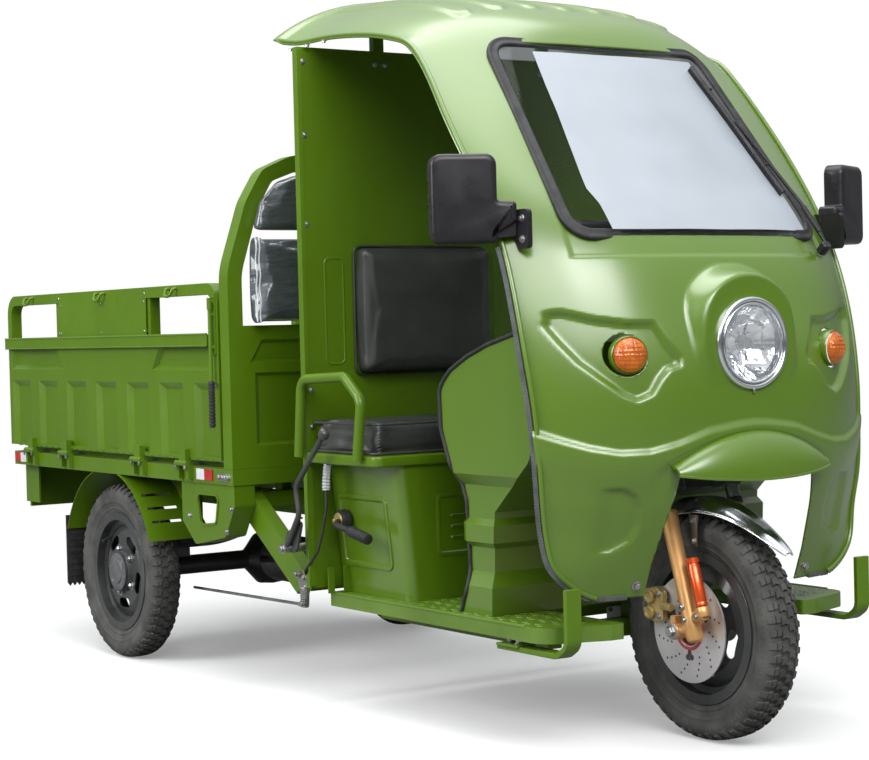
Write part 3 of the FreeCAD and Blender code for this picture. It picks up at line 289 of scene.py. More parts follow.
def eased(corners, radii, steps=6):
    """Outline of (u, v) corners with round ends to each."""
    outline = []
    count = len(corners)
    for i, (u, v) in enumerate(corners):
        corner = Vector((u, v))
        a = Vector(corners[i - 1]) - corner
        b = Vector(corners[(i + 1) % count]) - corner
        if radii[i] <= 0:
            outline.append((u, v))
            continue
        half = a.angle(b) / 2
        cut = radii[i] / tan(half)
        start = corner + a.normalized() * cut
        end = corner + b.normalized() * cut
        middle = corner + (a.normalized() + b.normalized()).normalized() * radii[i] / sin(half)
        first = atan2(start.y - middle.y, start.x - middle.x)
        turn = atan2(end.y - middle.y, end.x - middle.x) - first
        turn = (turn + pi) % (TURN) - pi
        for k in range(steps + 1):
            angle = first + turn * k / steps
            outline.append((middle.x + radii[i] * cos(angle), middle.y + radii[i] * sin(angle)))
    return outline


def smooth_step(low, high, value):
    """0 below low, 1 above high, eased between; works on arrays."""
    t = np.clip((np.asarray(value, float) - low) / (high - low), 0, 1)
    return t * t * (3 - 2 * t)


def outline_distance(px, pz, outline):
    """Distance of points from a closed outline, below zero inside it."""
    px = np.asarray(px, float)
    pz = np.asarray(pz, float)
    best = np.full(px.shape, 1e9)
    inside = np.zeros(px.shape, bool)
    count = len(outline)
    for i in range(count):
        ax, az = outline[i]
        bx, bz = outline[(i + 1) % count]
        dx, dz = bx - ax, bz - az
        along = np.clip(((px - ax) * dx + (pz - az) * dz) / max(dx * dx + dz * dz, 1e-12), 0, 1)
        best = np.minimum(best, np.hypot(px - ax - along * dx, pz - az - along * dz))
        crosses = ((az > pz) != (bz > pz)) & (px < dx * (pz - az) / (dz if abs(dz) > 1e-12 else 1e-12) + ax)
        inside ^= crosses
    return np.where(inside, -best, best)


def placed(name, data):
    """New object in the scene."""
    piece = bpy.data.objects.new(name, data)
    bpy.context.scene.collection.objects.link(piece)
    return piece


def points_of(mesh):
    """A mesh's points as rows of x, y and z."""
    points = np.empty(len(mesh.vertices) * 3)
    mesh.vertices.foreach_get("co", points)
    return points.reshape(-1, 3)


def move_points(mesh, points):
    """Gives a mesh's points new places."""
    mesh.vertices.foreach_set("co", points.ravel())
    mesh.update()


def rect(u0, v0, u1, v1, radius, steps=6):
    """Outline of a rectangle with round corners."""
    return eased([(u0, v0), (u1, v0), (u1, v1), (u0, v1)], [radius] * 4, steps)


def circle(x, z, r, steps=64):
    """Outline of a circle."""
    return [(x + r * cos(TURN * k / steps), z + r * sin(TURN * k / steps)) for k in range(steps)]


def between(value, pairs):
    """Straight-line value between (place, value) pairs."""
    return float(np.interp(value, *zip(*pairs)))


def ribs(first, pitch, count, section):
    """Profile that repeats a section of (along, radius) points."""
    return [(first + k * pitch + a, r) for k in range(count) for a, r in section]


def coil(x, y, z, r, turn, rise, count):
    """Points of a winding spring."""
    return [at(x + r * cos(k * turn), y + r * sin(k * turn), z + rise * k) for k in range(count)]


def band(half, low, high):
    """Four-cornered section of a flat strip, half its width to each side."""
    return [(-half, low), (half, low), (half, high), (-half, high)]


def colours():
    """The scene's colour settings."""
    return bpy.context.scene.tricycle_colours


def sizes():
    """The scene's size settings."""
    return bpy.context.scene.tricycle_sizes


def added(nodes, kind, **values):
    """New shader node with its sockets' values; underscores stand for spaces."""
    made = nodes.new("ShaderNode" + kind)
    for name, value in values.items():
        made.inputs[name.replace("_", " ")].default_value = value
    return made


def wire(links, *pairs):
    """Links each pair of an outlet and a socket."""
    for outlet, socket in pairs:
        links.new(outlet, socket)


class Finish:
    """Builds one node material around a Principled shader."""

    def __init__(self, name):
        self.material = bpy.data.materials.new(name)
        self.material.use_nodes = True
        self.nodes = self.material.node_tree.nodes
        self.links = self.material.node_tree.links
        self.shader = self.nodes["Principled BSDF"]
        self.place = self.nodes.new("ShaderNodeTexCoord").outputs["Object"]
        self.height = None

    def set(self, **values):
        """Sets the shader's own sockets; underscores stand for spaces."""
        for name, value in values.items():
            self.shader.inputs[name.replace("_", " ")].default_value = value
        return self

    def noise(self, scale, detail, stretch=None, rough=0.55):
        """Noise in metres of the object, stretched along an axis where asked."""
        made = added(self.nodes, "TexNoise", Scale=scale, Detail=detail, Roughness=rough)
        place = self.place
        if stretch:
            mapping = added(self.nodes, "Mapping", Scale=stretch)
            self.links.new(place, mapping.inputs["Vector"])
            place = mapping.outputs["Vector"]
        self.links.new(place, made.inputs["Vector"])
        return made.outputs["Fac"]

    def cells(self, scale):
        """Distance to the nearest of scattered points."""
        made = added(self.nodes, "TexVoronoi", Scale=scale)
        self.links.new(self.place, made.inputs["Vector"])
        return made.outputs["Distance"]

    def ramp(self, source, stops):
        """Colour ramp from (place, colour) stops."""
        made = self.nodes.new("ShaderNodeValToRGB")
        ramp = made.color_ramp
        while len(ramp.elements) < len(stops):
            ramp.elements.new(0.5)
        for element, (place, colour) in zip(ramp.elements, stops):
            element.position = place
            element.color = (*colour, 1)
        self.links.new(source, made.inputs["Fac"])
        return made.outputs["Color"]

    def levels(self, source, low, high, from_low=0.3, from_high=0.7):
        """Maps a source's middle range to a low and a high value."""
        made = added(self.nodes, "MapRange", From_Min=from_low, From_Max=from_high, To_Min=low, To_Max=high)
        self.links.new(source, made.inputs["Value"])
        return made.outputs["Result"]

    def colour(self, source, low, high, from_low=0.3, from_high=0.7):
        """Varies the base colour between two shades."""
        self.links.new(self.ramp(source, [(from_low, low), (from_high, high)]), self.shader.inputs["Base Color"])
        return self

    def rough(self, source, low, high):
        """Varies the roughness between two values."""
        self.links.new(self.levels(source, low, high), self.shader.inputs["Roughness"])
        return self

    def bump(self, source, strength, distance):
        """Adds a height to the surface, over any given before."""
        made = added(self.nodes, "Bump", Strength=strength, Distance=distance)
        self.links.new(source, made.inputs["Height"])
        if self.height is not None:
            self.links.new(self.height, made.inputs["Normal"])
        self.height = made.outputs["Normal"]
        self.links.new(self.height, self.shader.inputs["Normal"])
        return self


# Finishes by slot: name, values of the shader's sockets, colour and roughness as (scale, detail, low, high),
# then bumps as (scale, detail, strength, distance, stretch, roughness). A bump without detail is made of cells;
# a colour is three numbers, or the name of a setting with a factor and a lift
MIXES = {
    "green_paint": ("green paint", dict(Roughness=0.4, Coat_Weight=0.12, Coat_Roughness=0.1,
                                        Specular_IOR_Level=0.35),
                    (2.2, 4, ("paint", 0.9), ("paint", 1.1)), (14, 4, 0.3, 0.44), (260, 2, 0.05, 0.0004)),
    "green_moulding": ("green moulding", dict(Roughness=0.32, Coat_Weight=0.9, Coat_Roughness=0.24),
                       (1.7, 4, ("paint", 0.94), ("paint", 1.08)), None,
                       (9, 1, 0.12, 0.002), (240, 2, 0.04, 0.0004)),
    "floor_paint": ("floor paint", dict(Roughness=0.42, Coat_Weight=0.35, Coat_Roughness=0.15),
                    (6, 5, ("paint", 0.85), ("paint", 1.2, 0.01)), None, (90, 3, 0.1, 0.0005)),
    "clear_screen": ("clear screen", dict(Base_Color=(0.96, 0.98, 0.98, 1), Roughness=0.02,
                                          Transmission_Weight=1.0, IOR=1.12), None, None, (3, 2, 0.02, 0.001)),
    "black_rubber": ("black rubber", dict(Specular_IOR_Level=0.35),
                     (40, 4, (0.012, 0.012, 0.013), (0.03, 0.03, 0.031)), (25, 3, 0.5, 0.7),
                     (400, 3, 0.15, 0.0004)),
    "grey_rubber": ("grey rubber", dict(Specular_IOR_Level=0.3),
                    (30, 4, (0.060, 0.066, 0.068), (0.105, 0.112, 0.115)), (22, 3, 0.5, 0.7),
                    (300, 3, 0.15, 0.0004)),
    "tyre_rubber": ("tyre rubber", dict(Specular_IOR_Level=0.3),
                    (18, 6, (0.045, 0.045, 0.043), (0.11, 0.108, 0.10), 0.35, 0.85), (12, 4, 0.6, 0.85),
                    (300, 4, 0.25, 0.0005)),
    "chrome": ("chrome", dict(Metallic=1.0), (5, 3, (0.66, 0.69, 0.72), (0.84, 0.86, 0.88)), (20, 4, 0.10, 0.22),
               (120, 2, 0.03, 0.0003)),
    "steel": ("steel", dict(Metallic=1.0), (30, 5, (0.33, 0.33, 0.33), (0.52, 0.52, 0.51)), (16, 5, 0.22, 0.45),
              (60, 5, 0.1, 0.0003, (1, 1, 12))),
    "black_plastic": ("black plastic", dict(Specular_IOR_Level=0.3),
                      (12, 4, (0.010, 0.009, 0.011), (0.019, 0.018, 0.021)), (18, 3, 0.24, 0.4),
                      (900, 0, 0.12, 0.0002)),
    "black_vinyl": ("black vinyl", dict(Specular_IOR_Level=0.5),
                    (9, 4, (0.026, 0.027, 0.026), (0.046, 0.048, 0.046)), (14, 3, 0.34, 0.5),
                    (420, 0, 0.35, 0.0004), (8, 4, 0.35, 0.003)),
    "grey_padding": ("grey padding", dict(Coat_Weight=1.0, Coat_Roughness=0.07),
                     (7, 4, ("padding", 0.8), ("padding", 1.3, 0.01)), (20, 4, 0.28, 0.5),
                     (16, 5, 0.7, 0.008, (1, 1, 2.6), 0.6), (60, 3, 0.25, 0.002)),
    "black_paint": ("black paint", dict(Coat_Weight=0.4, Coat_Roughness=0.12),
                    (10, 4, (0.020, 0.020, 0.021), (0.042, 0.043, 0.043)), (22, 4, 0.34, 0.5),
                    (180, 3, 0.08, 0.0004)),
    "gold_metal": ("gold metal", dict(Metallic=0.55), (8, 4, ("fork", 0.85), ("fork", 1.15)), (25, 4, 0.3, 0.42),
                   (240, 3, 0.1, 0.0004)),
    "orange_metal": ("orange metal", dict(Metallic=0.6, Coat_Weight=0.6, Coat_Roughness=0.08),
                     (14, 3, ("reservoir", 0.9), ("reservoir", 1.1)), (30, 3, 0.2, 0.34)),
    "lamp_lens": ("lamp lens", dict(Base_Color=(0.92, 0.95, 0.97, 1), Roughness=0.03, Alpha=0.16,
                                    Specular_IOR_Level=0.9), None, None, (30, 1, 0.2, 0.002, (5, 1, 0.4))),
    "lamp_bowl": ("lamp bowl", dict(Metallic=1.0), (22, 4, (0.42, 0.44, 0.47), (0.86, 0.87, 0.89)),
                  (30, 3, 0.04, 0.14), (38, 2, 0.35, 0.002)),
    "amber_lens": ("amber lens", LENS, (25, 2, (0.46, 0.075, 0.003), (0.80, 0.20, 0.006)), None,
                 (260, 0, 0.5, 0.0015)),
    "red_lens": ("red lens", LENS, (25, 2, (0.42, 0.012, 0.01), (0.62, 0.03, 0.02)), None,
               (260, 0, 0.5, 0.0015)),
    "white_lens": ("white lens", LENS, (25, 2, (0.72, 0.74, 0.76), (0.86, 0.87, 0.88)), None,
                 (260, 0, 0.5, 0.0015)),
    "film": ("clear film", dict(Base_Color=(0.9, 0.93, 0.97, 1), Roughness=0.14, Alpha=0.42,
                                Specular_IOR_Level=0.8), None, None, (16, 4, 0.4, 0.003, (1, 1, 0.5)),
             (70, 3, 0.2, 0.001)),
    "screen_film": ("screen film", dict(Alpha=0.94, Coat_Weight=0.1),
                    (3, 3, (0.28, 0.31, 0.345), (0.34, 0.37, 0.41)), (6, 3, 0.35, 0.5), (8, 3, 0.1, 0.002)),
    "mirror_glass": ("mirror glass", dict(Base_Color=(0.86, 0.88, 0.9, 1), Metallic=1.0), None,
                     (8, 2, 0.015, 0.05)),
    "pale_thread": ("pale thread", {}, (200, 2, (0.09, 0.09, 0.09), (0.16, 0.16, 0.16)), (90, 2, 0.6, 0.8)),
    "pale_plate": ("pale plate", dict(Metallic=0.2), (12, 4, (0.70, 0.72, 0.72), (0.80, 0.81, 0.81)),
                   (30, 3, 0.3, 0.45), (80, 4, 0.06, 0.0003, (1, 12, 1))),
    "black_gloss": ("black gloss", dict(Coat_Weight=0.8, Coat_Roughness=0.05),
                    (9, 3, (0.014, 0.014, 0.015), (0.028, 0.029, 0.029)), (20, 3, 0.2, 0.35)),
    "dull_cap": ("dull cap", dict(Metallic=0.35), (26, 5, (0.07, 0.073, 0.078), (0.15, 0.155, 0.16)),
                 (40, 4, 0.42, 0.62), (180, 4, 0.2, 0.0005)),
    "bright_disc": ("bright disc", dict(Metallic=0.75), (9, 4, (0.58, 0.56, 0.56), (0.74, 0.72, 0.72)),
                    (22, 4, 0.28, 0.42), (160, 3, 0.05, 0.0002)),
    "red_ring": ("red ring", dict(Coat_Weight=0.5), (20, 2, (0.36, 0.012, 0.012), (0.5, 0.025, 0.02)),
                 (30, 3, 0.25, 0.4)),
    "brass": ("brass", dict(Metallic=0.6), (24, 4, (0.36, 0.27, 0.10), (0.58, 0.45, 0.2)), (30, 4, 0.25, 0.45)),
}
FINISHES = {}


def shade_of(colour):
    """A colour of the table: three numbers, or a setting's colour made lighter or darker."""
    if not isinstance(colour[0], str):
        return colour
    setting, factor, *lift = colour
    return tuple(min(1.0, c * factor + sum(lift)) for c in getattr(colours(), setting))


def finish_of(slot):
    """The finish of a slot, made once."""
    if slot not in FINISHES:
        name, sockets, colour, rough, *bumps = MIXES[slot]
        made = Finish(name).set(**sockets)
        if colour:
            scale, detail, low, high, *span = colour
            made.colour(made.noise(scale, detail), shade_of(low), shade_of(high), *span)
        if rough:
            scale, detail, low, high = rough
            made.rough(made.noise(scale, detail), low, high)
        for scale, detail, strength, distance, *more in bumps:
            made.bump(made.noise(scale, detail, *more) if detail else made.cells(scale), strength, distance)
        FINISHES[slot] = made.material
    return FINISHES[slot]


# Arches of the moulding, front foot to rear roof lip: side edge y and z, half width, crown y and z, fullness
ARCHES = [
    (4, 352, 415, -45, 340, 2.6),
    (8, 420, 444, -77, 416, 2.8),
    (14, 491, 457, -108, 488, 2.85),
    (8, 567, 468, -135, 566, 2.85),
    (7, 662, 474, -150, 662, 2.85),
    (12, 756, 480, -154, 756, 2.85),
    (27, 859, 487, -143, 859, 2.85),
    (47, 955, 490, -115, 955, 2.85),
    (95, 1099, 489, -58, 1099, 2.85),
    (195, 1266, 491, 75, 1266, 2.85),
    (312, 1419, 487, 201, 1419, 2.85),
    (417, 1544, 475, 305, 1544, 2.9),
    (463, 1583, 474, 345, 1594, 3.0),
    (520, 1603, 473, 405, 1655, 3.2),
    (600, 1620, 472, 510, 1705, 3.3),
    (720, 1636, 472, 680, 1742, 3.2),
    (852, 1645, 472, 852, 1766, 3.1),
    (970, 1650, 472, 970, 1778, 3.0),
    (1070, 1668, 474, 1070, 1786, 3.0),
]
LAMP_Y, LAMP_Z = -153.0, 886.0
SIGNAL_X, SIGNAL_Y, SIGNAL_Z = 297.5, -100.0, 868.0
SWOOSH = ([0, 40, 125, 204, 265, 327, 382, 425, 500], [716, 714, 703, 678, 664, 663, 675, 690, 722])
SIGNAL_DISH = [(-441, 964), (-412, 967), (-355, 950), (-293, 940), (-230, 939), (-209, 898), (-182, 861),
               (-185, 840), (-213, 834), (-234, 813), (-255, 782), (-289, 768), (-318, 781), (-360, 817),
               (-399, 854), (-428, 897), (-448, 933)]
LEG_DISH = [(-372, 592), (-313, 589), (-284, 571), (-271, 545), (-267, 501), (-280, 466), (-322, 443),
            (-372, 440)]
RIBS = [-300, -200, -100, 0, 100, 200, 300]
# Heights of the shell's forms over the smooth moulding, and depths of its dishes
RIDGE, ROOF_RIB, ROOF_LIP = 10, 6.5, 7
SIGNAL_DEPTH, LEG_DEPTH, SCREEN_DEPTH = 13, 8, 4
# Round lower corners, the shell's foot, its mesh, the holes in it and its wall in metres
CORNER, FOOT_Z, FOOT_HALF = 88.0, 350.0, 425.0
FINE_ROW, COARSE_ROW, SHELL_COLUMNS = 5.2, 9.0, 157
LAMP_HOLE, SIGNAL_HOLE = 98, 45
SNAP_REACH, LEAST_LEAN = 14, 0.25
SHELL_WALL = 0.004


def spline(knots, values, wanted):
    """Natural cubic spline through rows of values."""
    knots = np.asarray(knots, float)
    values = np.asarray(values, float)
    count = len(knots)
    gap = np.diff(knots)
    system = np.eye(count)
    right = np.zeros_like(values)
    for i in range(1, count - 1):
        system[i, i - 1:i + 2] = gap[i - 1], 2 * (gap[i - 1] + gap[i]), gap[i]
        right[i] = 6 * ((values[i + 1] - values[i]) / gap[i] - (values[i] - values[i - 1]) / gap[i - 1])
    bend = np.linalg.solve(system, right)
    k = np.clip(np.searchsorted(knots, wanted) - 1, 0, count - 2)
    h = gap[k][:, None]
    a = (knots[k + 1] - wanted)[:, None]
    b = (np.asarray(wanted) - knots[k])[:, None]
    return (bend[k] * a ** 3 + bend[k + 1] * b ** 3) / (6 * h) \
        + (values[k] / h - bend[k] * h / 6) * a + (values[k + 1] / h - bend[k + 1] * h / 6) * b


def moulding(rows, columns):
    """Points (x, y, z in mm) of the smooth moulding; rows are places along the arches, columns -1 to 1."""
    t = np.asarray(columns, float)
    arches = []
    for edge_y, edge_z, half, crown_y, crown_z, power in ARCHES:
        share = np.abs(t) ** power
        arches.append(np.stack([half * t, crown_y + (edge_y - crown_y) * share,
                                crown_z + (edge_z - crown_z) * share], axis=1))
    arches = np.array(arches)
    steps = np.linalg.norm(np.diff(arches, axis=0), axis=2).mean(axis=1)
    knots = np.concatenate([[0], np.cumsum(steps)])
    flat = arches.reshape(len(ARCHES), -1)
    return spline(knots, flat, np.asarray(rows) * knots[-1]).reshape(len(rows), len(t), 3)


def corner_share(height):
    """How much of the moulding's width is left near its foot, where its lower corners are rounded."""
    up = min(1.0, max(0.0, (height - FOOT_Z) / CORNER))
    return 1 - (CORNER - CORNER * sqrt(max(0.0, 1 - (1 - up) ** 2))) / FOOT_HALF


def trimmed(rows, columns):
    """The smooth moulding with its lower corners rounded off."""
    points = moulding(rows, columns)
    for i in range(len(rows)):
        share = corner_share(points[i, 0, 2])
        if share < 1:
            points[i] = moulding([rows[i]], np.asarray(columns, float) * share)[0]
    return points


def normals_of(points):
    """Outward normals of a grid of points."""
    along = np.gradient(points, axis=0)
    aside = np.gradient(points, axis=1)
    normal = np.cross(along, aside)
    normal /= np.linalg.norm(normal, axis=2, keepdims=True)
    middle = points[:, points.shape[1] // 2]
    towards = np.array([0.0, 600.0, 1000.0])
    flip = np.sign(((middle - towards) * normal[:, points.shape[1] // 2]).sum(axis=1))
    return normal * np.where(flip == 0, 1, flip)[:, None, None]


def shell_relief(points):
    """How far each point of the shell stands out from the smooth moulding."""
    x, y, z = points[..., 0], points[..., 1], points[..., 2]
    nose = 1 - smooth_step(1040, 1100, z)
    side = -np.abs(x)
    below = np.interp(np.abs(x), *SWOOSH) - z
    high = RIDGE * smooth_step(-9, 10, below) * (1 - smooth_step(14, 110, below))
    hood = smooth_step(0, 30, 704 - z - 62 * (np.abs(x) / 226) ** 2) * (1 - smooth_step(226, 262, np.abs(x)))
    high = high * (1 - hood)
    dish = outline_distance(side, z, SIGNAL_DISH)
    high = high - SIGNAL_DEPTH * smooth_step(-2, 11, -dish) * nose
    leg = outline_distance(side, z, LEG_DISH)
    high = high - LEG_DEPTH * smooth_step(0, 12, -leg) * smooth_step(-372, -330, side)
    shelf = outline_distance(side, z, [(-372, 1078), (372, 1078), (330, 1640), (-330, 1640)])
    high = high - SCREEN_DEPTH * smooth_step(0, 7, -shelf) * (1 - smooth_step(1100, 1250, z))
    roof = smooth_step(1590, 1640, z)
    rib = np.zeros_like(x)
    for centre in RIBS:
        front = np.hypot(np.maximum(495 - y, 0), np.abs(x - centre))
        rib = np.maximum(rib, 1 - smooth_step(17, 30, np.where(y < 495, front, np.abs(x - centre))))
    high = high + ROOF_RIB * rib * roof * (1 - smooth_step(1005, 1030, y)) * smooth_step(440, 470, y)
    return high + ROOF_LIP * smooth_step(1030, 1064, y) * roof


def lamp_collar(points):
    """Draws the nose out to the flat collar that carries the headlamp."""
    x, z = points[..., 0], points[..., 2]
    r = np.hypot(x, z - LAMP_Z)
    reach = np.where(z > LAMP_Z, 1 + 0.16 * smooth_step(0, 130, z - LAMP_Z), 1.0)
    flat = 1 - smooth_step(127, 153, r / reach)
    ahead = np.minimum(points[..., 1], LAMP_Y + 2.0)
    points[..., 1] += (ahead - points[..., 1]) * flat * (z < 1060)


def snap(points, normals, outlines):
    """Moves points just inside an outline onto it and says which points to drop."""
    x, z = points[..., 0].copy(), points[..., 2].copy()
    drop = np.zeros(x.shape, bool)
    for outline, low, high in outlines:
        near = (points[..., 1] > low) & (points[..., 1] < high)
        gap = np.where(near, outline_distance(x, z, outline), 1e3)
        inside = gap < 0
        deep = inside.copy()
        deep[1:] &= inside[:-1]
        deep[:-1] &= inside[1:]
        deep[:, 1:] &= deep[:, :-1].copy()
        deep[:, :-1] &= inside[:, 1:]
        drop |= inside
        edge = inside & (gap > -SNAP_REACH)
        for i, j in np.argwhere(edge):
            best = None
            for k in range(len(outline)):
                a = Vector(outline[k])
                b = Vector(outline[(k + 1) % len(outline)])
                p = Vector((x[i, j], z[i, j]))
                share = max(0.0, min(1.0, (p - a).dot(b - a) / max((b - a).length_squared, 1e-9)))
                q = a.lerp(b, share)
                if best is None or (q - p).length < best[0]:
                    best = ((q - p).length, q)
            dx, dz = best[1].x - x[i, j], best[1].y - z[i, j]
            n = normals[i, j]
            lean = copysign(max(abs(n[1]), LEAST_LEAN), n[1])
            points[i, j] += (dx, -(n[0] * dx + n[2] * dz) / lean, dz)
    return drop


def screen_outline(grow):
    """Outline of the screen's glass, grown by a margin."""
    corners = [(-346.6 - grow, 1136 - grow * 0.8), (346.6 + grow, 1136 - grow * 0.8),
               (302 + grow, 1579 + grow * 0.8), (-302 - grow, 1579 + grow * 0.8)]
    return eased(corners, [34 + grow, 34 + grow, 40 + grow, 40 + grow], 8)


def arch_outline():
    """Outline of the opening over the front wheel."""
    corners = [(-224, 250), (224, 250), (222, 414), (208, 524), (186, 640), (-186, 640), (-208, 524), (-222, 414)]
    return eased(corners, [0, 0, 60, 60, 40, 40, 60, 60], 6)


def shell_points():
    """The cab shell's points with every pressed form, and which of them to drop for its openings."""
    fine = np.linspace(0, 1, 4000)
    points = moulding(fine, [0.0])
    step = np.where(points[:, 0, 2] < 1110, FINE_ROW, COARSE_ROW)
    length = np.concatenate([[0], np.cumsum(np.linalg.norm(np.diff(points[:, 0], axis=0), axis=1) / step[1:])])
    rows = np.interp(np.linspace(0, length[-1], int(length[-1])), length, fine)
    points = trimmed(rows, np.linspace(-1, 1, SHELL_COLUMNS))
    normals = normals_of(points)
    points += normals * shell_relief(points)[..., None]
    lamp_collar(points)
    normals = normals_of(points)
    nose = [arch_outline(), circle(0, LAMP_Z, LAMP_HOLE)]
    nose += [circle(side * SIGNAL_X, SIGNAL_Z, SIGNAL_HOLE) for side in SIDES]
    outlines = [(screen_outline(13), -400, 640), *((outline, -500, 60) for outline in nose)]
    return points, snap(points, normals, outlines)


def cab_shell():
    """Front moulding, screen frame and roof in one piece with the wheel arch and lamp places cut out."""
    points, drop = shell_points()
    high, wide = drop.shape
    form = Form()
    place = [at(*p) for p in points.reshape(-1, 3)]
    faces = []
    for i in range(high - 1):
        for j in range(wide - 1):
            corners = ((i, j), (i, j + 1), (i + 1, j + 1), (i + 1, j))
            if not all(drop[c] for c in corners):
                faces.append(tuple(r * wide + c for r, c in corners))
    used = sorted({v for face in faces for v in face})
    number = {v: k for k, v in enumerate(used)}
    form.add([place[v] for v in used], [tuple(number[v] for v in face) for face in faces])
    shell = form.build("cab_moulding", "body", "green_moulding", ["cab_shell"], 50)
    wall = shell.modifiers.new("wall", "SOLIDIFY")
    wall.thickness = SHELL_WALL
    wall.offset = -1 if outward(shell, at(0, -160, 720)) else 1


def outward(piece, near):
    """True if the face nearest a point looks towards the front."""
    face = min(piece.data.polygons, key=lambda f: (piece.matrix_world @ f.center - near).length)
    return (piece.matrix_world.to_3x3() @ face.normal).y < 0


def screen_seal():
    """Rounded rubber section round the screen, lapping shell and glass."""
    path, normals = [], []
    for x, z in screen_outline(11):
        y, n = on_moulding(x, z)
        path.append(at(x, y, z) + n * 0.002)
        normals.append(n)
    section = [(-0.0135, -0.003), (-0.0135, 0.003), (-0.0115, 0.0055), (-0.0075, 0.0066), (-0.0055, 0.0052),
               (0.0055, 0.0052), (0.0075, 0.0066), (0.0115, 0.0055), (0.0135, 0.003), (0.0135, -0.003)]
    form = Form()
    form.ribbon(path, normals, section, closed=True)
    form.build("screen_seal", "body", "black_rubber", ["windscreen_seal"], 60)


SURFACE = {}


def on_moulding(x, z):
    """Station y and outward normal of the smooth moulding at a place across and a height."""
    if not SURFACE:
        points = moulding(np.linspace(0, 1, 420), np.linspace(-1, 1, 161))
        SURFACE["points"], SURFACE["normals"] = points, normals_of(points)
    points, normals = SURFACE["points"], SURFACE["normals"]
    flat = (points[..., 0] - x) ** 2 + (points[..., 2] - z) ** 2
    i, j = np.unravel_index(np.argmin(flat), flat.shape)
    p, n = points[i, j], normals[i, j]
    lean = copysign(max(abs(n[1]), 0.2), n[1])
    y = p[1] - (n[0] * (x - p[0]) + n[2] * (z - p[2])) / lean
    return float(y), Vector(n)


def wheel_hood():
    """Hood over the wheel arch: a swollen brow with a turned-out lip, its root closed against the nose."""
    form = Form()
    rows = []
    for i in range(49):
        t = -1 + i / 24
        u = 1 - t * t
        x = 218 * t
        root_z, lip_z = 630 + 68 * u, 612 - 16 * u
        root_y = on_moulding(x, root_z)[0] + 3
        lip_y = on_moulding(x, lip_z)[0] - 34 - 32 * u
        upper = []
        for k in range(13):
            a = pi / 2 * k / 12
            upper.append((x, root_y + (lip_y - root_y) * sin(a) ** 0.85, lip_z + (root_z - lip_z) * cos(a)))
        rim = [(x, lip_y - 5 * u ** 0.5 - 1, lip_z - 1), (x, lip_y - 4.5 * u ** 0.5 - 1, lip_z - 5),
               (x, lip_y + 3, lip_z - 6)]
        under = [(x, y + 3.5, z - 4) for _, y, z in upper[::-1]]
        rows.append([at(*p) for p in upper + rim + under])
    form.grid(rows, loop_columns=True, cap=True)
    form.build("hood", "body", "green_moulding", ["wheel_hood"], 32)


def side_edges():
    """Bead moulded along both open edges of the shell, and the ribbed rubber strip inside its lower half."""
    bead, strip = Form(), Form()
    rows = np.concatenate([np.linspace(0, 0.04, 26)[:-1], np.linspace(0.04, 1, 140)])
    points = trimmed(rows, [-1.0, -0.965, 0.965, 1.0])
    for edge, inner in ((0, 1), (3, 2)):
        path, out = [], []
        for row in points:
            a, b = row[edge], row[inner]
            side = Vector(a - b).normalized()
            path.append(at(*(a + np.array(side) * -7)))
            out.append(side)
        bead.tube([p + Vector((0, -0.0035, 0.0015)) for p in path], 0.0058, steps=10)
        low = [i for i, row in enumerate(points) if row[edge][2] < 1105 and row[edge][1] < 120]
        route = [path[i] + out[i] * 0.006 + Vector((0, 0.006, 0)) for i in low]
        foot = route[0]
        side = 1 if edge else -1
        turned = [foot + Vector((-side * d, -d * 0.25, 0.0)) for d in (0.080, 0.055, 0.03)]
        route = turned + route
        outs = [Vector((0, 0.3, -1))] * 3 + [out[i] for i in low]
        strip.ribbon(route, outs, band(0.0085, -0.004, 0.005))
        for a, b, n in zip(route[2:], route[3:], outs[2:]):
            steps = max(1, int((b - a).length / 0.006))
            for k in range(steps):
                mid = a.lerp(b, (k + 0.5) / steps)
                ahead = (b - a).normalized()
                strip.ribbon([mid - ahead * 0.0014, mid + ahead * 0.0014], [n, n], band(0.0092, -0.0047, 0.0057))
    bead.build("edge_bead", "body", "green_moulding", sharp=60)
    strip.build("edge_rubber", "body", "grey_rubber", sharp=40)


def screen_film():
    """Protective film left on the middle of the glass."""
    form = Form()
    rows = []
    for z in np.linspace(1139, 1566, 24):
        right = np.interp(z, [1139, 1200, 1230, 1566], [-262, -262, -272, -212])
        left = np.interp(z, [1139, 1566], [322, 268])
        rows.append([])
        for x in np.linspace(right, left, 25):
            y, n = on_moulding(float(x), float(z))
            ripple = 0.0006 * sin(x / 37 + z / 51) + 0.0005 * sin(z / 17)
            rows[-1].append(at(float(x), y, float(z)) + n * (0.0012 + ripple))
    form.grid(rows)
    form.build("screen_sheet", "body", "screen_film", sharp=80)


LENS_R, SIGNAL_R = 0.086, 0.0375


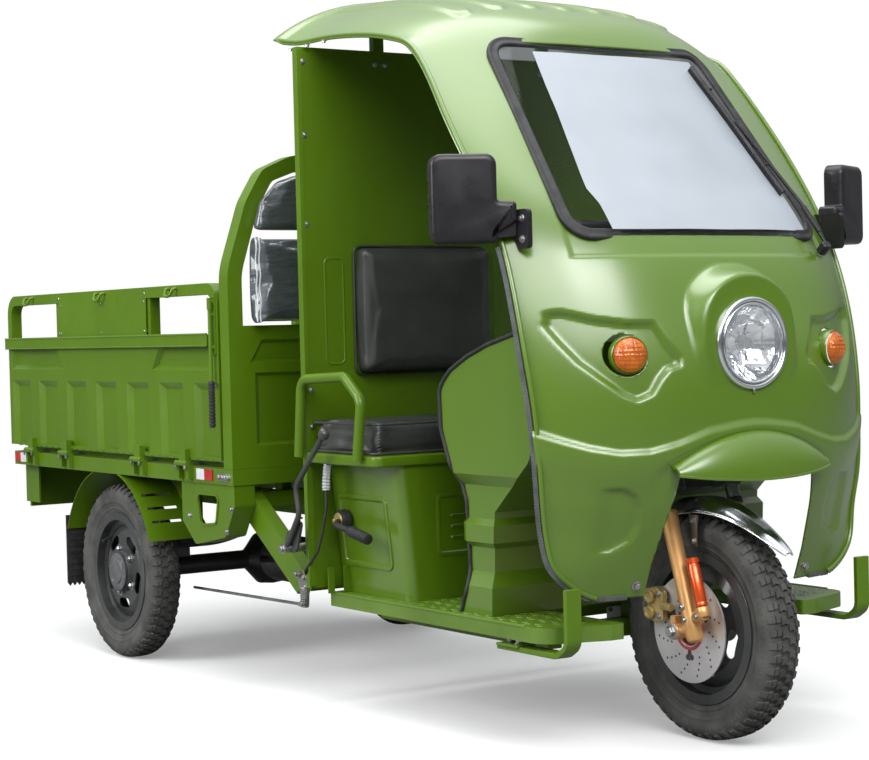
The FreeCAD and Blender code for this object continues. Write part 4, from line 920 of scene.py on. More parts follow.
def head_lamp():
    """Domed clear glass over a faceted bright bowl with its bulb and shade, in a layered polished ring."""
    form = Form()
    centre = at(0, LAMP_Y, LAMP_Z)
    back = Vector((0, 1, 0))

    def bowl(x, z, r):
        step = 0.0022 * (floor(x / 0.016) % 2) + 0.0012 * (floor(z / 0.022) % 2)
        return centre + Vector((x, 0.070 - 0.062 * (r / LENS_R) ** 2 + step * (r > 0.03), z))

    form.disc(np.linspace(0.013, LENS_R - 0.002, 25), 120, bowl, 1)
    form.turned([(0.072, 0.014), (0.060, 0.016), (0.056, 0.013), (0.030, 0.0095), (0.020, 0.006), (0.018, 0.0)],
                centre, back, 2, 28)
    form.turned([(0.012, 0.0), (0.013, 0.014), (0.022, 0.0175), (0.034, 0.0185), (0.034, 0.0165), (0.022, 0.0155),
                 (0.016, 0.0)], centre, back, 1, 36)
    for a in (0.5, 2.6, 4.71):
        spoke = Vector((cos(a), 0, sin(a)))
        form.rod(centre + spoke * 0.016 + back * 0.030, centre + spoke * 0.070 + back * 0.026, 0.0022, 1, 8)
    form.turned([(0.010, LENS_R - 0.004), (0.004, LENS_R - 0.004), (0.004, LENS_R), (0.075, LENS_R),
                 (0.075, LENS_R - 0.002)], centre, back, 1, 72, ring=True)
    form.disc(np.linspace(0, LENS_R, 31), 72,
              lambda x, z, r: centre + Vector((x, -0.001 - 0.0165 * (1 - (r / LENS_R) ** 2), z)))
    form.build("lamp_glass", "body", "lamp_lens lamp_bowl white_lens", ["headlamp"], 30)
    ring = Form()
    outer = [pi * (0.05 + 0.95 * k / 11) for k in range(12)]
    ring.turned([(-0.002 - 0.0075 * sin(a), LENS_R + 0.0092 + 0.0062 * cos(a)) for a in outer]
                + [(0.004, LENS_R + 0.001), (0.004, LENS_R + 0.0155)], centre, back, 0, 96, ring=True)
    inner = [pi * k / 8 for k in range(9)]
    ring.turned([(-0.006 - 0.0032 * sin(a), LENS_R - 0.0002 + 0.0028 * cos(a)) for a in inner]
                + [(0.002, LENS_R - 0.003), (0.002, LENS_R + 0.0026)], centre, back, 0, 96, ring=True)
    ring.rod(centre + Vector((0, -0.004, -0.100)), centre + Vector((0, -0.004, -0.108)), 0.0035, 0, 12)
    ring.build("lamp_ring", "body", "chrome", ["headlamp_ring"], 40)


def signal_lamps():
    """Orange lenses with cut facets in rounded green bezels."""
    form = Form()
    for side in SIDES:
        centre = at(side * SIGNAL_X, SIGNAL_Y, SIGNAL_Z)
        out = Vector((side * 0.35, -1, 0)).normalized()
        form.turned([(-0.020, 0.0415), (-0.003, 0.0415), (0.000, 0.0405), (0.001, 0.0395), (0.000, 0.0380),
                     (-0.018, 0.0380)], centre, out, 1, 48, ring=True)
        right, up = across(out)

        def lens(x, z, r):
            dome = 0.024 * (1 - (r / SIGNAL_R) ** 2) ** 0.6
            cut = 0.0013 * (abs(sin(pi * x / 0.009)) + abs(sin(pi * z / 0.009)))
            return centre + right * x + up * z + out * (0.0015 + dome - cut * (r < 0.035))

        form.disc(np.linspace(0, SIGNAL_R, 26), 60, lens)
    form.build("signals", "body", "amber_lens green_moulding", ["turn_signals"], 30)


def wiper_arm():
    """Wiper with its jointed arm, spring and rubber blade lying up the screen's left edge."""
    form = Form()
    pivot = at(345, -12, 1085)
    y, n = on_moulding(322, 1190)
    knee = at(322, y, 1190) + n * 0.026
    blade = []
    for s in np.linspace(0, 1, 16):
        x, z = 296 + (240 - 296) * float(s), 1222 + (1540 - 1222) * float(s)
        y, n = on_moulding(x, z)
        blade.append((at(x, y, z), n))
    hub = pivot + Vector((0.0, -0.026, 0.022))
    form.rod(pivot + Vector((0, -0.004, 0.003)), hub, 0.0125, 0, 24)
    middle = blade[8][0] + blade[8][1] * 0.024
    form.tube(bent([hub - Vector((0, -0.004, 0)), knee, middle], 0.05), 0.0042, 0, 12)
    form.tube(bent([hub.lerp(knee, 0.3), hub.lerp(knee, 0.9)], 0.01), 0.0062, 0, 10)
    for lift, section in ((0.0165, [(-0.004, -0.003), (0.004, -0.003), (0.003, 0.004), (-0.003, 0.004)]),
                          (0.009, [(-0.001, -0.0065), (0.001, -0.0065), (0.0022, 0.0050), (-0.0022, 0.0050)])):
        form.ribbon([p + n * lift for p, n in blade], [n for _, n in blade], section)
    for k in (3, 8, 12):
        p, n = blade[k]
        form.rod(p + n * 0.014, p + n * 0.026, 0.0035, 0, 8)
    form.build("wiper_blade", "body", "black_plastic", ["wiper"], 40)


def shield_edge():
    """Rubber strip over the leg shield's rear edge and round its arms' ends."""
    form = Form()
    for side in SIDES:
        path = [at(side * (between(z, SHIELD_STEPS) + 1), y + 5, z) for z, y in SHIELD_REAR]
        form.tube(bent(path, 0.03), 0.0052, 0, 8)
    form.build("shield_rubber", "body", "black_rubber", sharp=60)


def shrunk(outline, margin):
    """Outline moved inwards by a small margin along its own normals."""
    count = len(outline)
    area = sum(outline[i - 1][0] * outline[i][1] - outline[i][0] * outline[i - 1][1] for i in range(count))
    turn = 1 if area > 0 else -1
    moved = []
    for i in range(count):
        a, b = Vector(outline[i - 1]), Vector(outline[(i + 1) % count])
        run = (b - a).normalized()
        moved.append((outline[i][0] - run.y * margin * turn, outline[i][1] + run.x * margin * turn))
    return moved


def door_mirror(side):
    """Mirror in a rounded shell with a lug for its arm, and the plate that carries it on the moulding."""
    form = Form()
    corners = [(-72, -95), (72, -95), (72, -75), (114, -51), (114, -7), (72, -5), (72, 95), (-72, 95)]
    turn = Matrix.Rotation(radians(-25), 3, "Z")
    middle = Vector((-563, 122, 1209))

    def place(u, w, d):
        p = middle + turn @ Vector((u, d, w))
        return at(-side * p.x, p.y, p.z)

    form.rings(eased(corners, [24, 8, 6, 12, 10, 5, 24, 24], 6),
               ((14, -23.5), (7, -22.5), (2.5, -19.5), (0.6, -15), (0, -9), (0, 21), (1.2, 23.5)), place, cap=True)
    glass = rect(-63, -86, 63, 86, 16, 5)
    form.plate(glass, 1.0, lambda u, w, d: place(u, w, 23.6 + d), 1)
    form.rings(glass, ((-5, 23), (-4, 26), (-1, 26.5), (0.5, 24.8)), place)
    arm = eased([(20, -91), (112, -81), (112, -41), (20, -61)], [6] * 4, 3)
    form.plate(arm, 10, lambda u, w, d: place(u, w, d - 10))
    foot = eased([(26, 1100), (26, 1184), (116, 1184), (89, 1142), (61, 1100)], [10, 10, 3, 3, 3], 4)
    form.plate(foot, 12, lambda y, z, d: at(side * (452 + d), y, z))
    for z in (1120, 1164):
        form.bolt(at(side * 464, 46, z), (side, 0, 0), 0.010, 2)
    hand = "left" if side > 0 else "right"
    form.build("door_mirror_" + hand, "body", "black_plastic mirror_glass steel", ["mirror_" + hand], 34)


def block_mesh(name, low, high, ease, cell):
    """Rounded block remeshed to an even skin."""
    form = Form()
    form.box(low, high)
    piece = placed(name, form.mesh(name))
    edge = piece.modifiers.new("ease", "BEVEL")
    edge.width = ease
    edge.segments = 4
    skin = piece.modifiers.new("skin", "REMESH")
    skin.mode = "VOXEL"
    skin.voxel_size = cell
    return applied(piece)


def applied(piece):
    """Keeps what the modifiers make and drops them."""
    view = bpy.context.evaluated_depsgraph_get()
    mesh = bpy.data.meshes.new_from_object(piece.evaluated_get(view))
    old = piece.data
    piece.modifiers.clear()
    piece.data = mesh
    bpy.data.meshes.remove(old)
    return piece


def swell(piece, cap, held, pressure=4.0):
    """Blows a closed skin up as cloth; held tells which points stay put, cap is the most that one may move."""
    mesh = piece.data
    start = points_of(mesh)
    pins = piece.vertex_groups.new(name="held")
    pins.add([int(i) for i in np.nonzero(held(start))[0]], 1.0, "REPLACE")
    cloth = piece.modifiers.new("swell", "CLOTH")
    rules = cloth.settings
    rules.quality = 4
    rules.use_pressure = True
    rules.uniform_pressure_force = pressure
    rules.vertex_group_mass = "held"
    rules.effector_weights.gravity = 0
    cloth.point_cache.frame_start = 1
    cloth.point_cache.frame_end = CLOTH_FRAMES
    scene = bpy.context.scene
    for step in range(1, CLOTH_FRAMES + 1):
        scene.frame_set(step)
    move = points_of(piece.evaluated_get(bpy.context.evaluated_depsgraph_get()).data) - start
    far = np.linalg.norm(move, axis=1, keepdims=True)
    move *= np.minimum(1, cap / np.maximum(far, 1e-9))
    piece.modifiers.clear()
    scene.frame_set(1)
    move_points(mesh, start + move)


def softened(piece, slot, node, low, high, shape):
    move_points(piece.data, np.clip(shape(points_of(piece.data)), np.array(low), np.array(high)))
    finer = piece.modifiers.new("finer", "SUBSURF")
    finer.levels = 1
    finer.render_levels = 1
    applied(piece)
    piece.data.materials.clear()
    piece.data.materials.append(finish_of(slot))
    piece.data.polygons.foreach_set("material_index", [0] * len(piece.data.polygons))
    piece.data.shade_smooth()
    dress(piece, "body", [node] if node else ())


def bench_cushion():
    """Driver's seat pad with piped edges and a stitched seam down each front corner."""
    low, high = at(-500, 600, 638.4), at(500, 913, 718)
    piece = block_mesh("seat_pad", low + Vector((0.006, 0.006, 0.0)), high - Vector((0.006, 0.006, 0.010)), 0.022,
                       0.0085)
    swell(piece, 0.014, lambda p: p[:, 2] < low.z + 0.004)

    def shape(points):
        lift = np.clip((points[:, 2] - low.z) / 0.08, 0, 1)
        for x in (-0.17, 0.17):
            near = np.exp(-((points[:, 0] - x) / 0.010) ** 2)
            points[:, 2] -= 0.0035 * near * (lift > 0.7)
        ripple = np.sin(points[:, 0] * 47 + 3 * np.sin(points[:, 1] * 21)) * np.sin(points[:, 1] * 33)
        points[:, 2] += 0.0012 * ripple * (lift > 0.7)
        return points

    softened(piece, "black_vinyl", "seat_cushion", low, high, shape)
    form = Form()
    for z, inset in ((0.712, 0.0075), (0.6435, 0.002)):
        ring = [Vector((x, y, z)) for x, y in
                rect(low.x + inset, low.y + inset, high.x - inset, high.y - inset, 0.022, 5)]
        form.tube(ring + ring[:1], 0.0032, 0, 8, cap=False)
    for x in (low.x + 0.012, high.x - 0.012):
        for k in range(9):
            stitch = Vector((x, low.y + 0.0015, low.z + 0.008 + k * 0.0075))
            form.rod(stitch - Vector((0.004, 0, 0)), stitch + Vector((0.004, 0, 0.003)), 0.0011, 1, 6)
    form.build("seat_piping", "body", "black_vinyl pale_thread", sharp=60)


def bench_back():
    """Flat backrest pad with one seam and a welted edge."""
    low, high = at(-358, 853, 824), at(45, WALL_FACE, 1147)
    piece = block_mesh("back_pad", low + Vector((0.006, 0.012, 0.006)), high - Vector((0.006, 0, 0.006)), 0.016,
                       0.0075)
    swell(piece, 0.004, lambda p: p[:, 1] > high.y - 0.004, 1.5)

    def shape(points):
        front = np.clip((high.y - points[:, 1]) / 0.06, 0, 1)
        points[:, 1] += 0.0015 * np.exp(-((points[:, 0] - 0.02) / 0.004) ** 2) * (front > 0.6)
        return points

    softened(piece, "black_vinyl", "seat_back", low, high, shape)
    form = Form()
    ring = [Vector((x, high.y - 0.006, z)) for x, z in
            rect(low.x + 0.002, low.z + 0.002, high.x - 0.002, high.z - 0.002, 0.018, 5)]
    form.tube(ring + ring[:1], 0.0034, 0, 8, cap=False)
    form.build("back_welt", "body", "black_vinyl", sharp=60)


def cargo_pads():
    """Two padded packs in clear film: a long low one in the hoop and one leaning over it."""
    low, high = at(-484, 1190, 955.4), at(484, 1241.6, 1200)
    piece = block_mesh("lower_pad", low + Vector((0.006, 0.010, 0.0)), high - Vector((0.006, 0.0, 0.008)), 0.014,
                       0.0085)
    swell(piece, 0.014, lambda p: p[:, 1] > high.y - 0.004)

    def crease(points):
        front = points[:, 1] < (low.y + high.y) / 2
        x, z = points[:, 0], points[:, 2]
        fold = np.sin(z * 95 + 2.2 * np.sin(x * 9) + 1.1 * np.sin(x * 23 + 1))
        fine = np.sin(z * 240 + 5 * np.sin(x * 14 + 2))
        points[:, 1] += np.where(front, 0.0035 * fold * np.abs(np.sin(x * 6.1 + 0.7)) + 0.0012 * fine, 0)
        return points

    softened(piece, "grey_padding", "headboard_pads", low, high, crease)
    low, high = at(-474, 1200, 1200.4), at(474, 1241.6, 1362)
    piece = block_mesh("upper_pad", low + Vector((0.006, 0.006, 0)), high - Vector((0.006, 0.004, 0.006)), 0.016,
                       0.008)
    shaped = points_of(piece.data)
    height = (shaped[:, 2] - low.z) / (high.z - low.z)
    shaped[:, 0] *= np.interp(height, [0, 0.45, 0.8, 1.0], [0.474, 0.455, 0.405, 0.345]) / 0.474
    move_points(piece.data, shaped)
    swell(piece, 0.010, lambda p: (p[:, 1] > high.y - 0.004) | (p[:, 2] < low.z + 0.003))

    def big_folds(points):
        front = points[:, 1] < (low.y + high.y) / 2
        x, z = points[:, 0], points[:, 2]
        fold = np.abs(np.sin(x * 17 + 5 * z)) ** 6 + 0.7 * np.abs(np.sin(x * 8 - 11 * z + 1)) ** 8
        points[:, 1] -= np.where(front, 0.006 * fold, 0)
        return points

    softened(piece, "grey_padding", None, low, high, big_folds)
    form = Form()
    for x in (-0.476, -0.466):
        path = [Vector((x, at(0, 1193, 0).y + 0.003 * sin(k), 0.964 + k * 0.0112)) for k in range(21)]
        form.tube(path, 0.0022, 0, 6)
    form.build("film_seams", "body", "film", sharp=60)


BED_HALF, BED_FRONT, GATE_REAR = 535.0, 1304.0, 2725.0
WALL_FACE = 914.6
GATE_PATHS = {"gate_right": -1, "gate_left": 1}


def gate_fittings():
    """Ledge lips, pressed edges, tie hooks, sign plate and fastenings of the two drop sides."""
    for body, side in GATE_PATHS.items():
        form = Form()

        def edge(y, z, out=0.0):
            return at(side * (BED_HALF + out), y, z)

        for y in (BED_FRONT + 430, GATE_REAR - 402):
            for z in (948, 1052):
                form.bolt(edge(y, z, -4), (side, 0, 0), 0.009, 1)
        for y in (BED_FRONT + 250, (BED_FRONT + GATE_REAR) / 2, GATE_REAR - 190):
            hook = [edge(y + a, z, out) for a, z, out in ((-22, 1061, -2), (-22, 1061, 12), (-14, 1040, 20),
                                                          (14, 1040, 20), (22, 1061, 12), (22, 1061, -2))]
            form.tube(bent(hook, 0.012), 0.0042, 0, 10)
        for k in range(int((GATE_REAR - BED_FRONT - 60) / 46)):
            y = BED_FRONT + 40 + k * 46
            form.box(edge(y, 601.2), edge(y + 26, 604.7, 2.2))
        for z, r in ((935.5, 0.0030), (905.0, 0.0024)):
            form.tube([edge(y, z, 11.2) for y in np.linspace(BED_FRONT + 42, GATE_REAR - 2, 12)], r, 0, 8)
        form.build(body + "_fittings", body, "green_paint steel")
        plate = Form()
        plate.plate(rect(1723, 937, 2318, 1042, 4, 3), 1.6, lambda y, z, d: edge(y, z, 0.4 + d))
        for y in (1735, 2020, 2306):
            for z in (948, 1031):
                plate.turned([(0, 0.004), (0.0012, 0.004), (0.002, 0.0026)], edge(y, z, 2.0), (side, 0, 0), 1, 12)
        plate.build(body + "_sign_plate", body, "green_paint steel")


def catch_details():
    """Keeper straps, pins and ribbed rubber grips of the gate catches."""
    for side in SIDES:
        hand = "left" if side > 0 else "right"
        form = Form()

        def spot(out, along, z):
            return at(side * (BED_HALF + 0.4 + out), BED_FRONT + 18 + along, z)

        form.plate(rect(-11, 880, 11, 1045, 5, 3), 4, lambda a, z, d: spot(d, a, z))
        form.rod(spot(12.5, 0, 812), spot(12.5, 0, 1030), 0.005, 0, 14)
        form.rod(spot(0, 0, 1020), spot(16.5, 0, 1020), 0.007, 0, 16)
        for z in (900, 985):
            form.bolt(spot(4, 0, z), (side, 0, 0), 0.010, 0)
        form.tube([spot(12.5, 0, z) for z in (1030, 1000)], 0.0068, 0, 12)
        grip = ribs(0.004, 0.009, 13, [(0, 0.0088), (0.0045, 0.0088), (0.006, 0.0072), (0.0078, 0.0072)])
        form.turned([(0, 0.0062), *grip, (0.122, 0.006)], spot(12.5, 0, 812), (0, 0, -1), 1, 18)
        form.build(f"latch_{hand}_dressed", "gate_" + hand, "green_paint black_rubber", ["latch_" + hand], 30)


def bed_details():
    """Reflector strips, bolts and seams of the bed."""
    strips = Form()
    for side in SIDES:
        for y in (BED_FRONT + 47, GATE_REAR - 125):
            for k in range(2):
                strips.box(at(side * 535.4, y + 46 * k, 549), at(side * 538.4, y + 46 * (k + 1), 578),
                             (k + (y > 2000)) % 2)
    strips.build("reflector_strips", "body", "red_lens white_lens", ["reflectors"], bevel=0.0006)
    form = Form()
    size = sizes().bolt_across
    for side in SIDES:
        for y in (1262, 1276, 1290, 1310):
            form.bolt(at(side * 535, y + 4, 560), (side, 0, 0), size)
        for y, z in ((1262, 470), (1290, 410), (1500, 440)):
            form.bolt(at(side * 530, y, z + 8), (side, 0, 0), size * 0.8)
        for y in (1500, 1780, 2280, 2540):
            for end in (-27.5, 27.5):
                form.turned([(0, 0.006), (0.002, 0.006), (0.003, 0.004)], at(side * 557, y + end, 580),
                            (side, 0, 0), 0, 12)
    for x in (-440, -300, -150, 150, 300, 440):
        form.bolt(at(x, 2672, 520), (0, 1, 0), size * 0.8)
    form.build("bed_bolts", "body", "steel")
    flap = Form()
    for side in SIDES:
        inner, outer, teeth = 403, 538, 18
        comb = [(outer - (outer - inner) * k / teeth, 185.5 if k % 2 else 196) for k in range(teeth + 1)]
        flap.plate([(inner, 400), (outer, 400), (outer, 196), *comb, (inner, 196)], 6,
                   lambda x, z, d: at(side * x, 2306 + d, z))
        for k in range(10):
            z = 215 + k * 18
            flap.box(at(side * 412, 2304.2, z), at(side * 530, 2306.2, z + 5))
    flap.build("flaps", "body", "black_rubber", ["mudflaps"])


def tail_lenses():
    """Rear lamps with red, amber and white fields behind ribbed lenses."""
    form = Form()
    for side in SIDES:
        for k, (a, b) in enumerate(((334, 380), (380, 420), (420, 456))):
            rows = []
            for z in np.linspace(444, 506, 22):
                rows.append([])
                for x in np.linspace(a, b, 12):
                    edge = min(x - 334, 456 - x, z - 444, 506 - z) / 8
                    dome = 9 * min(1, max(0, edge)) ** 0.5
                    rows[-1].append(at(side * x, 2698 + dome + 0.8 * abs(sin(z / 3.2)), z))
            form.grid(rows, k)
        form.plate(rect(330, 440, 460, 510, 10, 4), 24, lambda x, z, d: at(side * x, 2672.6 + d, z), 3)
    form.build("rear_lamps", "body", "red_lens amber_lens white_lens black_plastic", ["tail_lamps"], 40)


RAKE = radians(16.5)
DISC_X, DISC_INNER, DISC_OUTER = -64, 37, 119.5
LEG_X, CAN_X, FORK_LEAD = 100, 106, 35
LUGS = 54
FORK_UP = Vector((0, sin(RAKE), cos(RAKE)))
FORK_AHEAD = Vector((0, -cos(RAKE), sin(RAKE)))


def on_fork(along, ahead, x):
    """Point in the fork's own directions, in millimetres from the axle's height on the steering axis."""
    return at(x, -20, AXLE_Z) + (FORK_UP * along + FORK_AHEAD * ahead) / 1000


TYRE_SIDE = [(30.5, 153.5), (33, 158), (32.4, 170), (36.5, 178), (38.6, 182), (39.9, 183.2), (40.2, 185),
             (39.6, 187), (43.2, 196), (45.0, 201.5), (46.0, 202.5), (46.1, 204.5), (45.8, 206), (47.2, 214),
             (46.4, 226), (42.5, 235), (36, 241), (24, 244.6), (10, 246), (0, 246.3)]
CROWN = ([0, 12, 22, 30, 38, 43, 46.5], [252.4, 252.2, 251.4, 249.4, 245.4, 239.5, 229])


def tyre_with_tread(name, x, y, body, node):
    """Tyre with stepped blocks on its crown and lugs over its shoulders."""
    lug = sizes().lug_height * 1000

    def spot(aside, angle, r):
        return at(x + aside, y - r * cos(angle), AXLE_Z + r * sin(angle))

    section = TYRE_SIDE + [(-a, r) for a, r in TYRE_SIDE[-2::-1]] + [(-18, 153), (0, 152.6), (18, 153)]
    form = Form()
    form.grid([[spot(a, TURN * i / 120, r) for a, r in section] for i in range(120)], loop_rows=True,
              loop_columns=True)

    def crown(aside):
        return float(np.interp(abs(aside), *CROWN))

    def block(side, angle, *corners):
        """Lug between (across, share of the pitch) corners, its top a little smaller than its foot."""
        corners = [(side * a, angle + b * pitch) for a, b in corners][::side]
        count = len(corners)
        middle = [sum(values) / count for values in zip(*corners)]
        foot = [spot(a, b, crown(a) - lug - 1.0) for a, b in corners]
        top = [(a + (middle[0] - a) * 0.09, b + (middle[1] - b) * 0.09) for a, b in corners]
        faces = [tuple(range(count, 2 * count))]
        faces += [(i, (i + 1) % count, count + (i + 1) % count, count + i) for i in range(count)]
        form.add(foot + [spot(a, b, crown(a)) for a, b in top], faces)

    pitch = TURN / LUGS
    for k in range(LUGS):
        for side in SIDES:
            a = (k + (0.5 if side > 0 else 0)) * pitch
            block(side, a, (1.2, 0), (9, 0.12), (18.5, 0), (18.5, 0.56), (9, 0.70), (1.2, 0.56))
            block(side, a, (21.5, 0.30), (31, 0.20), (31, 0.78), (21.5, 0.88))
            outer = 44.5 if k % 2 else 41.5
            block(side, a, (32.5, 0.22), (outer, 0.18), (outer, 0.66), (32.5, 0.76))
    for k in range(LUGS * 2):
        a = k * pitch / 2
        for side in SIDES:
            form.add([spot(side * out, a + share * pitch, r) for out, share, r in (
                (46.9, 0, 214), (46.9, 0.12, 214), (46.6, 0.12, 226), (46.6, 0, 226),
                (47.45, 0.02, 215), (47.45, 0.10, 215), (47.3, 0.10, 225), (47.3, 0.02, 225))],
                [(4, 5, 6, 7), (0, 1, 5, 4), (1, 2, 6, 5), (2, 3, 7, 6), (3, 0, 4, 7)])
    form.build(name, body, "tyre_rubber", [node], 28)


def wheel_details():
    """Rim lips, valves, nuts and hub caps of the three wheels."""
    arc = [pi * k / 8 for k in range(9)]
    lip = [(0.0345 + 0.0022 * sin(a), 0.1690 + 0.0028 * cos(a)) for a in arc] + [(0.031, 0.1662), (0.031, 0.1718)]
    for body, x, y, side in (("front_wheel", 0, 0, 0), ("rear_wheel_right", -REAR_X, WHEELBASE, -1),
                             ("rear_wheel_left", REAR_X, WHEELBASE, 1)):
        form = Form()
        centre = at(x, y, AXLE_Z)
        for end in SIDES:
            form.turned(lip, centre, (end, 0, 0), 0, 96, ring=True)
        outer = side or -1
        face, pitch = (0.022, 0.066) if side else (0.024, 0.052)
        for v, w in circle(0, 0, pitch, 5):
            spot = centre + Vector((outer * face, v, w))
            form.bolt(spot, (outer, 0, 0), 0.015, 1)
            form.rod(spot, spot + Vector((outer * 0.012, 0, 0)), 0.0042, 1, 10)
        a = radians(40)
        spot = centre + Vector((outer * 0.014, 0.139 * cos(a), 0.139 * sin(a)))
        form.rod(spot, spot + Vector((outer * 0.026, -0.006, -0.010)), 0.0042, 2, 10)
        if side:
            cap = [(0.0, 0.0585), (0.016, 0.0585), (0.020, 0.056), (0.024, 0.054), (0.0255, 0.050),
                   (0.0255, 0.036), (0.0285, 0.034), (0.0285, 0.0)]
            form.turned(cap, centre + Vector((side * 0.0175, 0, 0)), (side, 0, 0), 3, 56)
            for k in range(6):
                a = TURN * k / 6 + 0.3
                spot = centre + Vector((side * 0.0425, 0.043 * cos(a), 0.043 * sin(a)))
                form.turned([(0, 0.0035), (0.0012, 0.0035), (0.002, 0.002)], spot, (side, 0, 0), 1, 10)
        form.build(body + "_fittings", body, "black_gloss steel black_rubber dull_cap", sharp=30)


def fork_legs():
    """Cast gold lower legs with ribs and dust seals, bright tubes above, a black yoke, stem and axle nuts."""
    form = Form()
    for side in SIDES:
        foot = on_fork(-30, FORK_LEAD, side * LEG_X)
        leg = [(0.0, 0.012), (0.004, 0.017), (0.012, 0.0195), (0.05, 0.0198), (0.056, 0.0188), (0.16, 0.0180),
               (0.262, 0.0190), (0.268, 0.0206), (0.292, 0.0206), (0.296, 0.0180)]
        form.turned(leg, foot, FORK_UP, 0, 40)
        form.turned([(0.296, 0.0172), (0.299, 0.0192), (0.310, 0.0188), (0.313, 0.0165)], foot, FORK_UP, 1, 32)
        form.rod(foot + FORK_UP * 0.30, foot + FORK_UP * 0.356, 0.0155, 3, 28)
        rib = [foot + FORK_UP * (0.045 + k * 0.0068) - FORK_AHEAD * (0.0185 + 0.0016 * (k % 2)) for k in range(34)]
        form.tube(rib, [0.0030 + 0.0010 * (k % 2) for k in range(34)], 0, 8)
        lug = at(side * LEG_X, 0, AXLE_Z)
        form.turned([(-0.014, 0.0175), (-0.012, 0.019), (0.012, 0.019), (0.014, 0.0175)], lug, (1, 0, 0), 0, 32)
        form.rod(on_fork(0, FORK_LEAD, side * LEG_X), lug, 0.0115, 0, 20)
        form.box(lug + Vector((-0.010, -0.006, -0.004)), lug + Vector((0.010, 0.010, 0.034)), 0)
        nut = lug + Vector((side * 0.014, 0, 0))
        form.bolt(nut, (side, 0, 0), 0.021, 3)
        form.rod(nut, nut + Vector((side * 0.0075, 0, 0)), 0.0078, 3, 16)
        for a in (0.052, 0.080):
            spot = foot + FORK_UP * a + Vector((side * 0.019, 0, 0))
            form.bolt(spot, (side, 0, 0), 0.009, 3)
    outline = eased([(-126, -28), (126, -28), (126, 60), (60, 64), (40, 40), (-40, 40), (-60, 64), (-126, 60)],
                    [16, 16, 26, 20, 10, 10, 20, 26], 5)
    form.rings(outline, ((3, -13), (0, -10), (0, 10), (3, 13)), lambda x, a, d: on_fork(322 + d, a, x), 1,
               cap=True)
    for side in SIDES:
        form.bolt(on_fork(322, 66, side * 112), FORK_AHEAD, 0.011, 3)
    form.rod(on_fork(322, 0, 0), on_fork(900, 0, 0), 0.014, 1, 28)
    form.rod(at(-122, 0, AXLE_Z), at(122, 0, AXLE_Z), 0.008, 3, 20)
    form.build("fork_legs", "steering", "gold_metal black_paint chrome steel", ["fork"], 35, 0.0006)


def reservoirs():
    """Orange cans ahead of the legs with knurled caps and gold clamps."""
    form = Form()
    for side in SIDES:
        low = on_fork(38, 87, side * CAN_X)
        can = [(0.0, 0.010), (0.003, 0.0128), (0.010, 0.0136), (0.012, 0.0126), (0.015, 0.0136), (0.092, 0.0136),
               (0.094, 0.0122), (0.097, 0.0122), (0.098, 0.0139), (0.108, 0.0139), (0.110, 0.012)]
        form.turned(can, low, FORK_UP, 0, 36)
        for k in range(20):
            a = TURN * k / 20
            aside = Vector((1, 0, 0)) * cos(a) + FORK_AHEAD * sin(a)
            form.rod(low + FORK_UP * 0.099 + aside * 0.0137, low + FORK_UP * 0.1075 + aside * 0.0137, 0.0008, 0, 5)
        form.rod(on_fork(22, 58, side * CAN_X), on_fork(22, 91, side * CAN_X), 0.0128, 1, 28)
        form.turned([(-0.011, 0.0128), (-0.009, 0.0142), (0.009, 0.0142), (0.011, 0.0128)],
                    on_fork(28, 87, side * CAN_X), FORK_UP, 1, 32, ring=True)
        form.rod(on_fork(22, 53, side * CAN_X), on_fork(22, 60, side * CAN_X), 0.009, 1, 18)
        form.bolt(on_fork(22, 74, side * CAN_X) + Vector((side * 0.0125, 0, 0)), (side, 0, 0), 0.008, 2)
    form.build("reservoir_cans", "steering", "orange_metal gold_metal steel", ["fork_reservoirs"])


